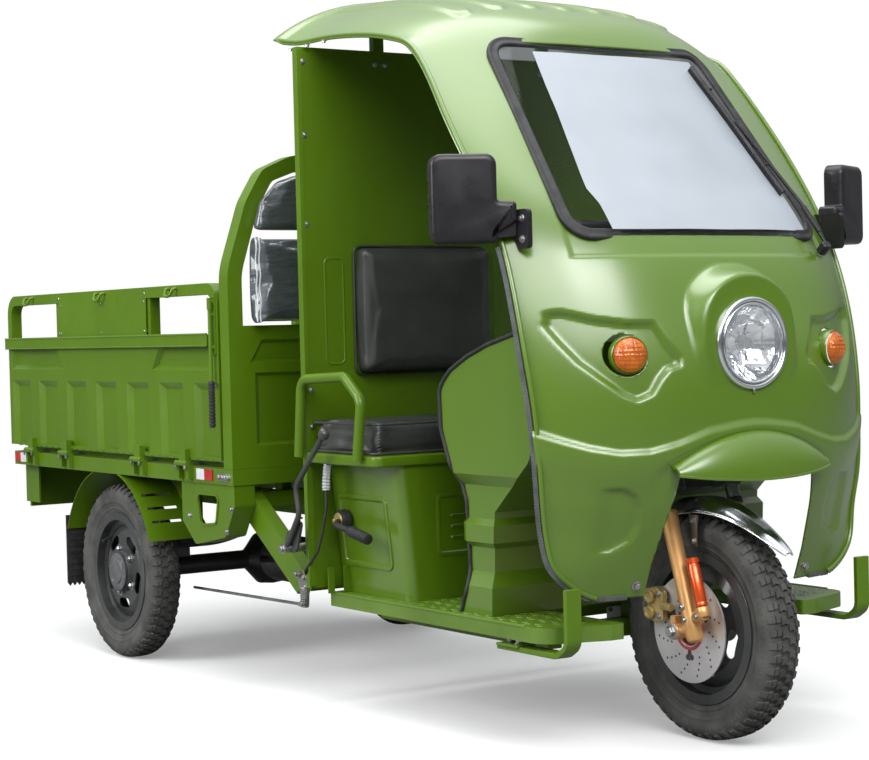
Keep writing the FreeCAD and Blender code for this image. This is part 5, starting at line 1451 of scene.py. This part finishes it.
def disc_and_caliper():
    """Drilled disc with its red carrier ring, and the gold caliper with its two bores and banjo bolt."""
    form = Form()

    def spot(out, y, z):
        return at(DISC_X + out, y, AXLE_Z + z)

    for depth in (-2.0, 2.0):
        form.disc(np.linspace(DISC_INNER, DISC_OUTER, 8), 180, lambda y, z, r: spot(depth, y, z))
    for r in (DISC_INNER, DISC_OUTER):
        form.grid([[spot(d, y, z) for y, z in circle(0, 0, r, 180)] for d in (-2, 2)], loop_columns=True)
    for k in range(12):
        for j, r in enumerate((68, 80, 92, 104)):
            a = TURN * (k + j * 0.18) / 12
            form.turned([(0, 0.0027), (0.00035, 0.0027)], spot(-2.05, r * cos(a), r * sin(a)), (-1, 0, 0), 1, 12)
    for k in range(3):
        a = TURN * k / 3 + 0.5
        for r, d in ((52.5, 0), (62.5, -6.8), (62.5, 6.8)):
            form.turned([(0, 0.0066), (0.0004, 0.0066)],
                        spot(-2.15, r * cos(a) + d * sin(a), r * sin(a) - d * cos(a)), (-1, 0, 0), 1, 16)
    form.turned([(-0.0045, 0.040), (-0.0045, 0.046), (-0.001, 0.048), (0.016, 0.048), (0.016, 0.039)],
                spot(0, 0, 0), (1, 0, 0), 2, 72, ring=True)
    form.build("drilled_disc", "front_wheel", "bright_disc black_paint red_ring", ["brake_disc"], slot="steel")
    form = Form()
    outline = eased([(64, 268), (86, 260), (128, 268), (136, 300), (126, 334), (88, 342), (64, 330)], [8] * 7, 4)
    for x0, x1 in ((-88, -70.5), (-57.5, -44)):
        form.rings(outline, ((2.5, x0), (0, x0 + 2.5), (0, x1 - 2.5), (2.5, x1)), lambda y, z, x: at(x, y, z),
                   cap=True)
    bridge = eased([(122, 270), (134, 300), (124, 332), (118, 330), (121, 300), (117, 272)], [3] * 6, 3)
    form.plate(bridge, 26, lambda y, z, d: at(-76 + d, y, z))
    for z in (283, 319):
        form.turned([(0, 0.0150), (0.008, 0.0150), (0.0105, 0.0128), (0.0105, 0.0095), (0.0085, 0.0088),
                     (0.0085, 0)], at(-87.5, 102, z), (-1, 0, 0), 0, 32)
        form.bolt(at(-88, 76, z - (301 - z) * 0.4), (-1, 0, 0), 0.010, 1)
    form.bolt(at(-88, 122, 301), (-1, 0, 0), 0.012, 1)
    form.rod(at(-84, 70, 300), at(-93, 26, 300), 0.009, 0, 18)
    form.build("brake_caliper", "steering", "brass steel", ["caliper"], bevel=0.0008, slot="gold_metal")


def mudguard():
    """Bright front mudguard: crowned section with rolled edges, flaring into its front tip, and its stays."""
    form = Form()
    tip = radians(35.1)
    flare = 260 / cos(tip) - 290
    rows = []
    for i in range(57):
        part = i / 56
        angle = tip + radians(108) * part
        half = 62 * min(1.0, 0.14 + 1.3 * part ** 0.7)
        drop = 36 * min(1.0, 0.15 + 1.4 * part)
        crest = 290 + flare * (1 - part) ** 8 + 8 * part ** 3
        rows.append([])
        for k in range(25):
            t = -1 + k / 12
            r = crest - drop * max(0.0, (t * t - 0.1225) / 0.8775) ** 1.15
            rows[-1].append(at(half * t, -r * cos(angle), AXLE_Z + r * sin(angle)))
    form.grid(rows, 0)
    for edge in (0, -1):
        form.tube([row[edge] for row in rows], 0.0020, 0, 8)
    piece = form.build("mudguard", "steering", "chrome", ["front_fender"], 60)
    wall = piece.modifiers.new("sheet", "SOLIDIFY")
    wall.thickness = 0.0016
    wall.offset = 0
    stays = Form()
    for side in SIDES:
        top = at(side * 61, -290 * cos(radians(86)), AXLE_Z + 256 * sin(radians(86)))
        stays.plate([(-14, 0), (14, 0), (10, -70), (-10, -70)], 0.003,
                    lambda u, w, d: top + Vector((side * d, u / 1000, w / 1000)), 0)
        for w in (-0.012, -0.058):
            stays.bolt(top + Vector((side * 0.003, 0, w)), (side, 0, 0), 0.010, 0)
    stays.build("mudguard_stays", "steering", "steel")


def steering_controls():
    """Ribbed grips, switch pods and lever pivots on the bar."""
    form = Form()
    centre = on_fork(950, 0, 0)
    for side in SIDES:
        end = centre + Vector((side * 0.360, 0.120, -0.010))
        knee = centre + Vector((side * 0.200, 0.070, 0.006))
        inward = (knee - end).normalized()
        grip = ribs(0.007, 0.0085, 13, [(0, 0.0174), (0.004, 0.0174), (0.0052, 0.0164), (0.0075, 0.0164)])
        form.turned([(-0.002, 0.010), (0.0, 0.0190), (0.004, 0.0195), *grip, (0.119, 0.0195), (0.122, 0.0185)],
                    end, inward, 0, 28)
        pod = end + inward * 0.124
        form.turned([(0, 0.0175), (0.003, 0.0215), (0.026, 0.0215), (0.029, 0.017)], pod, inward, 1, 24)
        button = pod + inward * 0.012
        form.rod(button + Vector((0, 0.014, 0.010)), button + Vector((0, 0.026, 0.016)), 0.0045, 2, 12)
    form.build("bar_grips", "steering", "black_rubber black_plastic red_lens")


SHIELD_HALF = 415
SHIELD_REAR = [(925, 120), (896, 250), (870, 330), (840, 396), (816, 426), (793, 444), (701, 440), (622, 407),
               (578, 388), (540, 372), (384, 369), (350, 348), (316, 364), (288.4, 374)]
SHIELD_FRONT = [(905, 40), (760, 60), (640, 110), (520, 250), (288.4, 262)]
SHIELD_STEPS = [(288, 415), (351, 415), (383, 391), (437, 391), (450, 405), (489, 405), (504, 395), (578, 395),
                (604, 415), (925, 415)]


def leg_shield():
    """Moulded leg shield: chamfered cheeks, stepped waist and a base spread on the floor."""
    heights = {z for z, _ in SHIELD_REAR[1:]} | {z for z, _ in SHIELD_STEPS[1:-1]} | set(np.linspace(290, 890, 48))
    form = Form()
    rows = []
    for z in sorted(z for z in heights if z <= 905) + [912, 920, 925]:
        back = between(z, SHIELD_REAR[::-1] if z <= 896 else [(896, 250), (925, 121)])
        fore = between(z, SHIELD_FRONT[::-1] if z <= 905 else [(905, 40), (925, 118)])
        half = between(z, SHIELD_STEPS)
        fore += SHIELD_HALF - half
        bevel = 26 * min(1.0, max(0.2, (z - 352) / 22)) * min(1.0, max(0.1, (back - fore) / 90))
        row = [(-half, fore), (-half, (fore + back) / 2), (-half, back),
               (-half + bevel * 0.28, back + bevel * 0.692), (-half + bevel, back + bevel),
               (-half * 0.5, back + bevel), (0, back + bevel)]
        rows.append([at(x, y, z) for x, y in row + [(-x, y) for x, y in row[-2::-1]]])
    form.grid(rows)
    form.add(rows[-1], [tuple(range(len(rows[-1])))])
    form.grid([[row[0] for row in rows], [row[-1] for row in rows]])
    form.build("shield", "body", "green_moulding", ["inner_fascia"], 22, 0.005, 3, 22)


def bench_box():
    """Seat box drawn in towards the floor, with a recessed front panel, side panels and a rolled shelf lip."""
    form = Form()
    front, rear = 604.0, 911.0
    rows = []
    for z, half, inset in ((288.4, 408, 0), (330, 411, 0), (590, 438, 0), (604, 440, 0), (622, 440, 0),
                           (626, 438, 2)):
        corners = [(-half, front + inset), (half, front + inset), (half, rear), (-half, rear)]
        rows.append([at(x, y, z) for x, y in eased(corners, [30, 30, 4, 4])])
    form.grid(rows, loop_columns=True, cap=True)

    def ahead(x, z, d):
        return at(x, front + d, z)

    form.rings(rect(-330, 390, 330, 540, 16, 5),
               ((0, 0.4), (0, -2.4), (3, -3.6), (8, -3.6), (10, -2.0), (12, 0.3)), ahead)
    for z in (428, 454, 480):
        form.rings(rect(-290, z, 290, z + 10, 5, 4), ((0, 0.4), (0.5, -3.0), (2.2, -4.4)), ahead, cap=True)
    for side in SIDES:
        form.rings(rect(665, 355, 890, 535, 22, 5),
                   ((0, -0.4), (0.5, 2.2), (3, 3.2), (9, 3.2), (12, 2.2), (14, 0.4), (15, -0.3)),
                   lambda y, z, d: at(side * (between(z, [(288, 408), (590, 438), (604, 440)]) + d), y, z))
    form.build("bench_box", "body", "green_moulding", ["seat_box"], 30)
    shelf = Form()
    shelf.rings(eased([(-505, 592), (505, 592), (505, 914), (-505, 914)], [24, 24, 4, 4], 6),
                ((9, 613), (3, 612.5), (0.6, 615), (0, 620), (0, 632), (0.8, 635.4), (3, 637.4), (7, 638)), at,
                cap=True)
    shelf.build("bench_shelf", "body", "green_paint", ["seat_shelf"])


def tread_floor():
    """Raised lozenges of the floor's tread plate, and its rolled rim."""
    form = Form()
    pitch = 23.0
    for i in range(-20, 21):
        for j in range(-1, 41):
            x, y = i * pitch + (pitch / 2) * (j % 2), j * pitch
            outside = abs(x) > 436 or y > 896 or y < 34 + (abs(x) > 400) * 26
            if outside or abs(x) < 276 and y < 384 or abs(x) < 425 and y > 590:
                continue
            turn = radians(45 if (i + j) % 2 else -45)
            c, s = cos(turn), sin(turn)
            points = []
            for u, v, w in ((-9, 0, 0), (-3, -2.6, 0), (3, -2.6, 0), (9, 0, 0), (3, 2.6, 0), (-3, 2.6, 0),
                            (-5, 0, 1.5), (5, 0, 1.5)):
                points.append(at(x + u * c - v * s, y + u * s + v * c, 288 + w - 0.1))
            form.add(points, [(0, 1, 6), (1, 2, 7, 6), (2, 3, 7), (3, 4, 7), (4, 5, 6, 7), (5, 0, 6)])
    for side in SIDES:
        path = [at(side * 447, y, 286.5) for y in (92, 300, 600, 905)]
        form.tube(path, 0.0045, 0, 10)
    form.build("floor_tread", "body", "floor_paint", sharp=30)


def wall_details():
    """Folded channel up the wall's edges, its lower rail, seams, bolts and the drawn panel behind the seat."""
    form = Form()
    for side in SIDES:
        for low, high, half in ((306, 600, 0.009), (824, 1630, 0.006)):
            form.ribbon([at(side * 498, 913.2, z) for z in (low, high)], [Vector((0, -1, 0))] * 2,
                        [(-half, 0), (-half, 0.004), (half, 0.004), (half, 0)])
        form.box(at(side * 470, 880, 288), at(side * 452, 884, 352))
        form.box(at(side * 430, 872, 288), at(side * 400, 876, 352))
    for outline in (rect(75, 850, 440, 1120, 18, 4), [(-x, z) for x, z in rect(380, 850, 440, 1120, 18, 4)]):
        form.rings(outline, ((0, 0.2), (2, 1.8), (5, 1.8), (7, 0.2)), lambda x, z, d: at(x, 915 - d, z))
    for side in SIDES:
        for z in (700, 790, 1200, 1420, 1600):
            form.bolt(at(side * 484, WALL_FACE, z), (0, -1, 0), 0.009, 1)
        for x in (245, 275):
            form.bolt(at(side * x, WALL_FACE, 1604), (0, -1, 0), 0.010, 1)
    form.build("wall_trim", "body", "green_paint steel", bevel=0.0008)


def side_controls():
    """Parking lever, gear handle, bell crank and rod beside the seat."""
    form = Form()
    x = -545.0
    lever = bent([at(x, 760, 688), at(x, 900, 556), at(x, 885, 490), at(x, 956, 400)], 0.03)
    form.tube(lever, 0.007, 0, 14)
    knob = [(-0.002, 0.006), (0.002, 0.0115), (0.008, 0.0142), (0.016, 0.0142), (0.024, 0.0118), (0.028, 0.006)]
    form.turned(knob, at(x, 766, 680), (0, -0.7, 0.7), 0, 28)
    sector = eased([(885, 480), (970, 430), (980, 390), (920, 390)], [8, 20, 8, 20], 4)
    form.plate(sector, 0.006, lambda y, z, d: at(x + 8, y, z) + Vector((d, 0, 0)), 0)
    for k in range(7):
        y, z = 893 + k * 11, 478 - k * 7
        form.box(at(x + 8, y, z - 2), at(x + 14, y + 4, z + 3), 0)
    form.rod(at(x - 8, 956, 400), at(x + 60, 956, 400), 0.011, 1, 20)
    form.bolt(at(x - 8, 956, 400), (-1, 0, 0), 0.016, 1)
    form.build("hand_lever", "body", "black_paint steel", ["parking_lever"])
    crank = Form()
    x = -482.0
    outline = eased([(955, 345), (1010, 330), (985, 245), (965, 245)], [10, 12, 8, 8], 4)
    crank.plate(outline, 0.008, lambda y, z, d: at(x - 4, y, z) + Vector((d, 0, 0)), 0)
    crank.rod(at(x, 975, 252), at(x + 60, 1700, 226), 0.004, 0, 12)
    for y, z in ((962, 322), (975, 256), (1000, 328)):
        crank.rod(at(x - 9, y, z), at(x + 6, y, z), 0.0062, 1, 16)
        crank.bolt(at(x - 9, y, z), (-1, 0, 0), 0.012, 0)
    crank.turned([(0, 0.0062), (0.030, 0.0062), (0.034, 0.0042), (0.05, 0.0042)], at(x + 1, 980, 251.6),
                 at(x + 60, 1700, 226) - at(x, 975, 252), 1, 16)
    crank.tube(coil(x - 12, 965, 300, 8, 0.9, -0.75, 60), 0.0012, 0, 6)
    crank.build("crank_and_rod", "body", "steel brass", ["brake_rods"])
    stick = Form()
    x = -478.0
    stick.tube(bent([at(x + 30, 850, 470), at(x, 826, 462), at(x, 730, 448)], 0.01), 0.008, 0, 14)
    grip = ribs(0.006, 0.0076, 10, [(0, 0.0136), (0.0036, 0.0136), (0.005, 0.0120), (0.0066, 0.0120)])
    stick.turned([(0, 0.010), (0.002, 0.0125), *grip, (0.084, 0.0128), (0.086, 0.009)], at(x, 760, 452),
                 at(x, 675, 436) - at(x, 760, 452), 0, 24)
    stick.turned([(0, 0.024), (0.003, 0.026), (0.021, 0.026), (0.024, 0.023)], at(x + 24, 850, 470), (1, 0, 0),
                 0, 32)
    stick.turned([(-0.003, 0.017), (0, 0.019), (0.003, 0.017)], at(x + 22, 850, 470), (1, 0, 0), 1, 32)
    stick.rod(at(x + 8, 850, 470), at(x + 26, 850, 470), 0.006, 1, 14)
    stick.build("gear_stick", "body", "black_rubber brass", ["shifter"],
                slot="black_plastic")


CABLE = [(-492, 832, 625), (-494, 840, 560), (-498, 834, 505), (-502, 846, 450), (-506, 868, 395),
         (-506, 933, 342), (-482, 955, 316)]


def brake_cable():
    """Sheathed cable from under the shelf down past the floor to the bell crank, wrapped in film at its top."""
    form = Form()
    form.tube(bent([at(*p) for p in CABLE], 0.026), 0.0035, 0, 12)
    wrap = []
    for k in range(28):
        s = k / 27
        wrap.append(at(-492 - 2 * s, 832 + 8 * s, 612).lerp(at(-494, 840, 548), s))
    form.tube(wrap, [0.0095 + 0.0016 * sin(k * 1.9) + 0.0008 * sin(k * 4.3) for k in range(28)], 1, 14)
    form.build("hand_brake_cable", "body", "black_rubber film", sharp=70)


def small_fastenings():
    """Bolts on the nose, fenders' feet, steps and chassis, and the springs of the steps."""
    form = Form()
    size = sizes().bolt_across
    for side in SIDES:
        y, n = on_moulding(side * 248, 370)
        form.bolt(at(side * 248, y, 370), n, size)
        step = side * 425.0
        form.bolt(at(step, 150, 242), (0, 0, 1), size)
        form.rod(at(step, 150, 242), at(step, 150, 252), 0.005, 0, 12)
        form.tube(coil(step, 178, 242.5, 9, 0.75, 0.22, 50), 0.0013, 0, 6)
        for y in (820, 900, 980):
            form.bolt(at(side * 478, y, 1640), (0, 0, -1), 0.009)
    form.build("fastenings", "body", "steel")


def blank_plate():
    """Bare plate bolted under the floor's front edge, behind the wheel."""
    form = Form()
    form.plate(rect(-48, 213, 48, 270, 4, 3), 1.5, lambda x, z, d: at(x, 315 - d, z))
    for x in (-38, 38):
        form.bolt(at(x, 313.5, 263), (0, -1, 0), 0.007, 1)
    form.build("bare_plate", "body", "pale_plate steel")


def step_bars():
    """Flat bars bent from the floor's corners down and back under it, each with its foot plate."""
    form = Form()
    for side in SIDES:
        x = side * 425
        path = bent([at(x, -46, 378), at(x, -46, 256), at(x, -10, 233), at(x, 205, 233)], 0.034, 10)
        runs = [path[min(i + 1, len(path) - 1)] - path[max(i - 1, 0)] for i in range(len(path))]
        form.ribbon(path, [Vector((0, -run.z, run.y)).normalized() for run in runs], band(0.020, -0.006, 0.006))
        form.box(at(x - 26, 120, 236), at(x + 26, 200, 242))
    form.build("step_bars", "body", "green_paint", ["step_brackets"], 35, 0.0018, 3)


class TRICYCLE_OT_shell(bpy.types.Operator):
    """Builds the cab moulding with its hood, screen seal, film and edge trim"""
    bl_idname = "tricycle.shell"
    bl_label = "Cab shell"

    def execute(self, context):
        cab_shell()
        screen_seal()
        screen_film()
        wheel_hood()
        side_edges()
        return {"FINISHED"}


class TRICYCLE_OT_lamps(bpy.types.Operator):
    """Builds the headlamp, turn signals and rear lamps"""
    bl_idname = "tricycle.lamps"
    bl_label = "Lamps"

    def execute(self, context):
        head_lamp()
        signal_lamps()
        tail_lenses()
        return {"FINISHED"}


class TRICYCLE_OT_fittings(bpy.types.Operator):
    """Builds the mirrors, wiper and small fastenings of the cab"""
    bl_idname = "tricycle.fittings"
    bl_label = "Cab fittings"

    def execute(self, context):
        door_mirror(-1)
        door_mirror(1)
        wiper_arm()
        wall_details()
        small_fastenings()
        return {"FINISHED"}


class TRICYCLE_OT_interior(bpy.types.Operator):
    """Builds the leg shield, seat box, tread floor and hand controls"""
    bl_idname = "tricycle.interior"
    bl_label = "Cab interior"

    def execute(self, context):
        leg_shield()
        shield_edge()
        bench_box()
        tread_floor()
        step_bars()
        blank_plate()
        side_controls()
        brake_cable()
        return {"FINISHED"}


class TRICYCLE_OT_padding(bpy.types.Operator):
    """Blows up the seat cushion, backrest and cargo pads as cloth"""
    bl_idname = "tricycle.padding"
    bl_label = "Padding"

    def execute(self, context):
        bench_cushion()
        bench_back()
        cargo_pads()
        return {"FINISHED"}


class TRICYCLE_OT_bed(bpy.types.Operator):
    """Builds the fittings of the cargo bed and its gates"""
    bl_idname = "tricycle.bed"
    bl_label = "Cargo bed fittings"

    def execute(self, context):
        gate_fittings()
        catch_details()
        bed_details()
        return {"FINISHED"}


class TRICYCLE_OT_wheels(bpy.types.Operator):
    """Builds the three treaded tyres and the wheels' fittings"""
    bl_idname = "tricycle.wheels"
    bl_label = "Wheels"

    def execute(self, context):
        tyre_with_tread("front_tread", 0, 0, "front_wheel", "front_tyre")
        tyre_with_tread("rear_tread_right", -REAR_X, WHEELBASE, "rear_wheel_right", "rear_tyre_right")
        tyre_with_tread("rear_tread_left", REAR_X, WHEELBASE, "rear_wheel_left", "rear_tyre_left")
        wheel_details()
        return {"FINISHED"}


class TRICYCLE_OT_front_end(bpy.types.Operator):
    """Builds the fork, reservoirs, brake, mudguard and grips"""
    bl_idname = "tricycle.front_end"
    bl_label = "Front end"

    def execute(self, context):
        fork_legs()
        reservoirs()
        disc_and_caliper()
        mudguard()
        steering_controls()
        return {"FINISHED"}


class TRICYCLE_OT_finishes(bpy.types.Operator):
    """Gives every solid of the frame the finish of its slot"""
    bl_idname = "tricycle.finishes"
    bl_label = "Finishes"

    def execute(self, context):
        slots = {part["node"]: part["material_slot"] for part in frame["record"]["subparts"]}
        for name, piece in frame["nodes"].items():
            piece.data.materials.clear()
            piece.data.materials.append(finish_of(slots[name]))
        return {"FINISHED"}


class TRICYCLE_OT_stage(bpy.types.Operator):
    """Sets floor, light and camera"""
    bl_idname = "tricycle.stage"
    bl_label = "Stage"

    def execute(self, context):
        build_floor()
        light_stage()
        aim_camera()
        return {"FINISHED"}


def build_floor():
    """Pale floor that turns plain white away from the shadow."""
    form = Form()
    form.add([(-40, -40, 0), (40, -40, 0), (40, 40, 0), (-40, 40, 0)], [(0, 1, 2, 3)])
    mesh = form.mesh("floor")
    made = Finish("pale floor").set(Roughness=0.7, Specular_IOR_Level=0.1)
    glow = added(made.nodes, "Emission", Color=(1, 1, 1, 1), Strength=1.0)
    ray = added(made.nodes, "LightPath").outputs["Is Camera Ray"]
    made.colour(ray, (0.22, 0.22, 0.22), (0.86, 0.86, 0.86), 0.0, 1.0)
    reach, seen, mix = (added(made.nodes, kind) for kind in ("VectorMath", "Math", "MixShader"))
    reach.operation = "LENGTH"
    seen.operation = "MULTIPLY"
    wire(made.links, (made.place, reach.inputs[0]),
         (made.levels(reach.outputs["Value"], 0.25, 1.0, 1.2, 3.2), seen.inputs[0]), (ray, seen.inputs[1]),
         (seen.outputs["Value"], mix.inputs["Fac"]), (made.shader.outputs["BSDF"], mix.inputs[1]),
         (glow.outputs["Emission"], mix.inputs[2]),
         (mix.outputs["Shader"], made.nodes["Material Output"].inputs["Surface"]))
    mesh.materials.append(made.material)
    placed("floor", mesh)


def light_stage():
    """Surroundings bright above and dim at the sides, and four soft lamps above the front and right."""
    world = bpy.data.worlds.new("studio")
    bpy.context.scene.world = world
    world.use_nodes = True
    nodes, links = world.node_tree.nodes, world.node_tree.links
    seen = nodes["Background"]
    seen.inputs["Color"].default_value = (1, 1, 1, 1)
    seen.inputs["Strength"].default_value = 1.0
    around = added(nodes, "Background", Color=(0.95, 0.98, 1.0, 1))
    place, split, ray, mix = (added(nodes, kind) for kind in ("TexCoord", "SeparateXYZ", "LightPath", "MixShader"))
    rise = added(nodes, "MapRange", From_Min=0.1, From_Max=0.8, To_Min=0.16, To_Max=1.1)
    wire(links, (place.outputs["Generated"], split.inputs["Vector"]), (split.outputs["Z"], rise.inputs["Value"]),
         (rise.outputs["Result"], around.inputs["Strength"]), (ray.outputs["Is Camera Ray"], mix.inputs["Fac"]),
         (around.outputs["Background"], mix.inputs[1]), (seen.outputs["Background"], mix.inputs[2]),
         (mix.outputs["Shader"], nodes["World Output"].inputs["Surface"]))
    soft_lamp("key", (-2.9, -4.9, 4.2), (0, -0.6, 0.7), 3.0, 175)
    soft_lamp("front", (-0.9, -6.2, 4.9), (0, -0.9, 0.9), 2.4, 200)
    soft_lamp("fill", (-5.2, 0.6, 3.0), (0, 0.2, 0.6), 3.0, 265)
    soft_lamp("top", (-0.2, -0.2, 5.0), (0, 0, 0.5), 3.6, 168)


def soft_lamp(name, place, aim, size, power):
    data = bpy.data.lights.new(name, "AREA")
    data.shape = "SQUARE"
    data.size = size
    data.energy = power
    lamp = placed(name, data)
    lamp.location = place
    lamp.rotation_euler = (Vector(aim) - Vector(place)).to_track_quat("-Z", "Y").to_euler()


def aim_camera():
    """Camera at the photographed angle."""
    yaw, pitch, roll = 0.5887, -0.0248, -0.0257
    ahead = Vector((sin(yaw) * cos(pitch), cos(yaw) * cos(pitch), sin(pitch)))
    right = Vector((cos(yaw), -sin(yaw), 0))
    up = right.cross(ahead)
    aside = right * cos(roll) + up * sin(roll)
    above = up * cos(roll) - right * sin(roll)
    data = bpy.data.cameras.new("camera")
    data.sensor_width = 36
    data.lens = 85.73
    data.clip_end = 200
    camera = placed("camera", data)
    place = Vector((-3.0695, -4.7389, 0.9346))
    turn = Matrix((aside, above, -ahead)).transposed()
    camera.matrix_world = Matrix.Translation(place) @ turn.to_4x4()
    bpy.context.scene.camera = camera


class TRICYCLE_PT_panel(bpy.types.Panel):
    """Builders and settings of the tricycle"""
    bl_idname = "TRICYCLE_PT_panel"
    bl_label = "Electric Cargo Tricycle"
    bl_space_type = "VIEW_3D"
    bl_region_type = "UI"
    bl_category = "Tricycle"

    def draw(self, context):
        for group in (context.scene.tricycle_colours, context.scene.tricycle_sizes):
            box = self.layout.box()
            for name in group.bl_rna.properties.keys():
                if name not in ("rna_type", "name"):
                    box.prop(group, name)
        column = self.layout.column(align=True)
        for builder in BUILDERS:
            column.operator(builder.bl_idname)


BUILDERS = (TRICYCLE_OT_finishes, TRICYCLE_OT_shell, TRICYCLE_OT_lamps, TRICYCLE_OT_fittings,
            TRICYCLE_OT_interior, TRICYCLE_OT_padding, TRICYCLE_OT_bed, TRICYCLE_OT_wheels,
            TRICYCLE_OT_front_end, TRICYCLE_OT_stage)
CLASSES = (TricycleColours, TricycleSizes, *BUILDERS, TRICYCLE_PT_panel)


def register():
    for item in CLASSES:
        bpy.utils.register_class(item)
    bpy.types.Scene.tricycle_colours = bpy.props.PointerProperty(type=TricycleColours)
    bpy.types.Scene.tricycle_sizes = bpy.props.PointerProperty(type=TricycleSizes)


def unregister():
    del bpy.types.Scene.tricycle_sizes
    del bpy.types.Scene.tricycle_colours
    for item in reversed(CLASSES):
        bpy.utils.unregister_class(item)


def main():
    register()
    bpy.context.scene.view_settings.view_transform = "Standard"
    for builder in BUILDERS:
        group, name = builder.bl_idname.split(".")
        getattr(getattr(bpy.ops, group), name)()


if __name__ == "__main__":
    main()
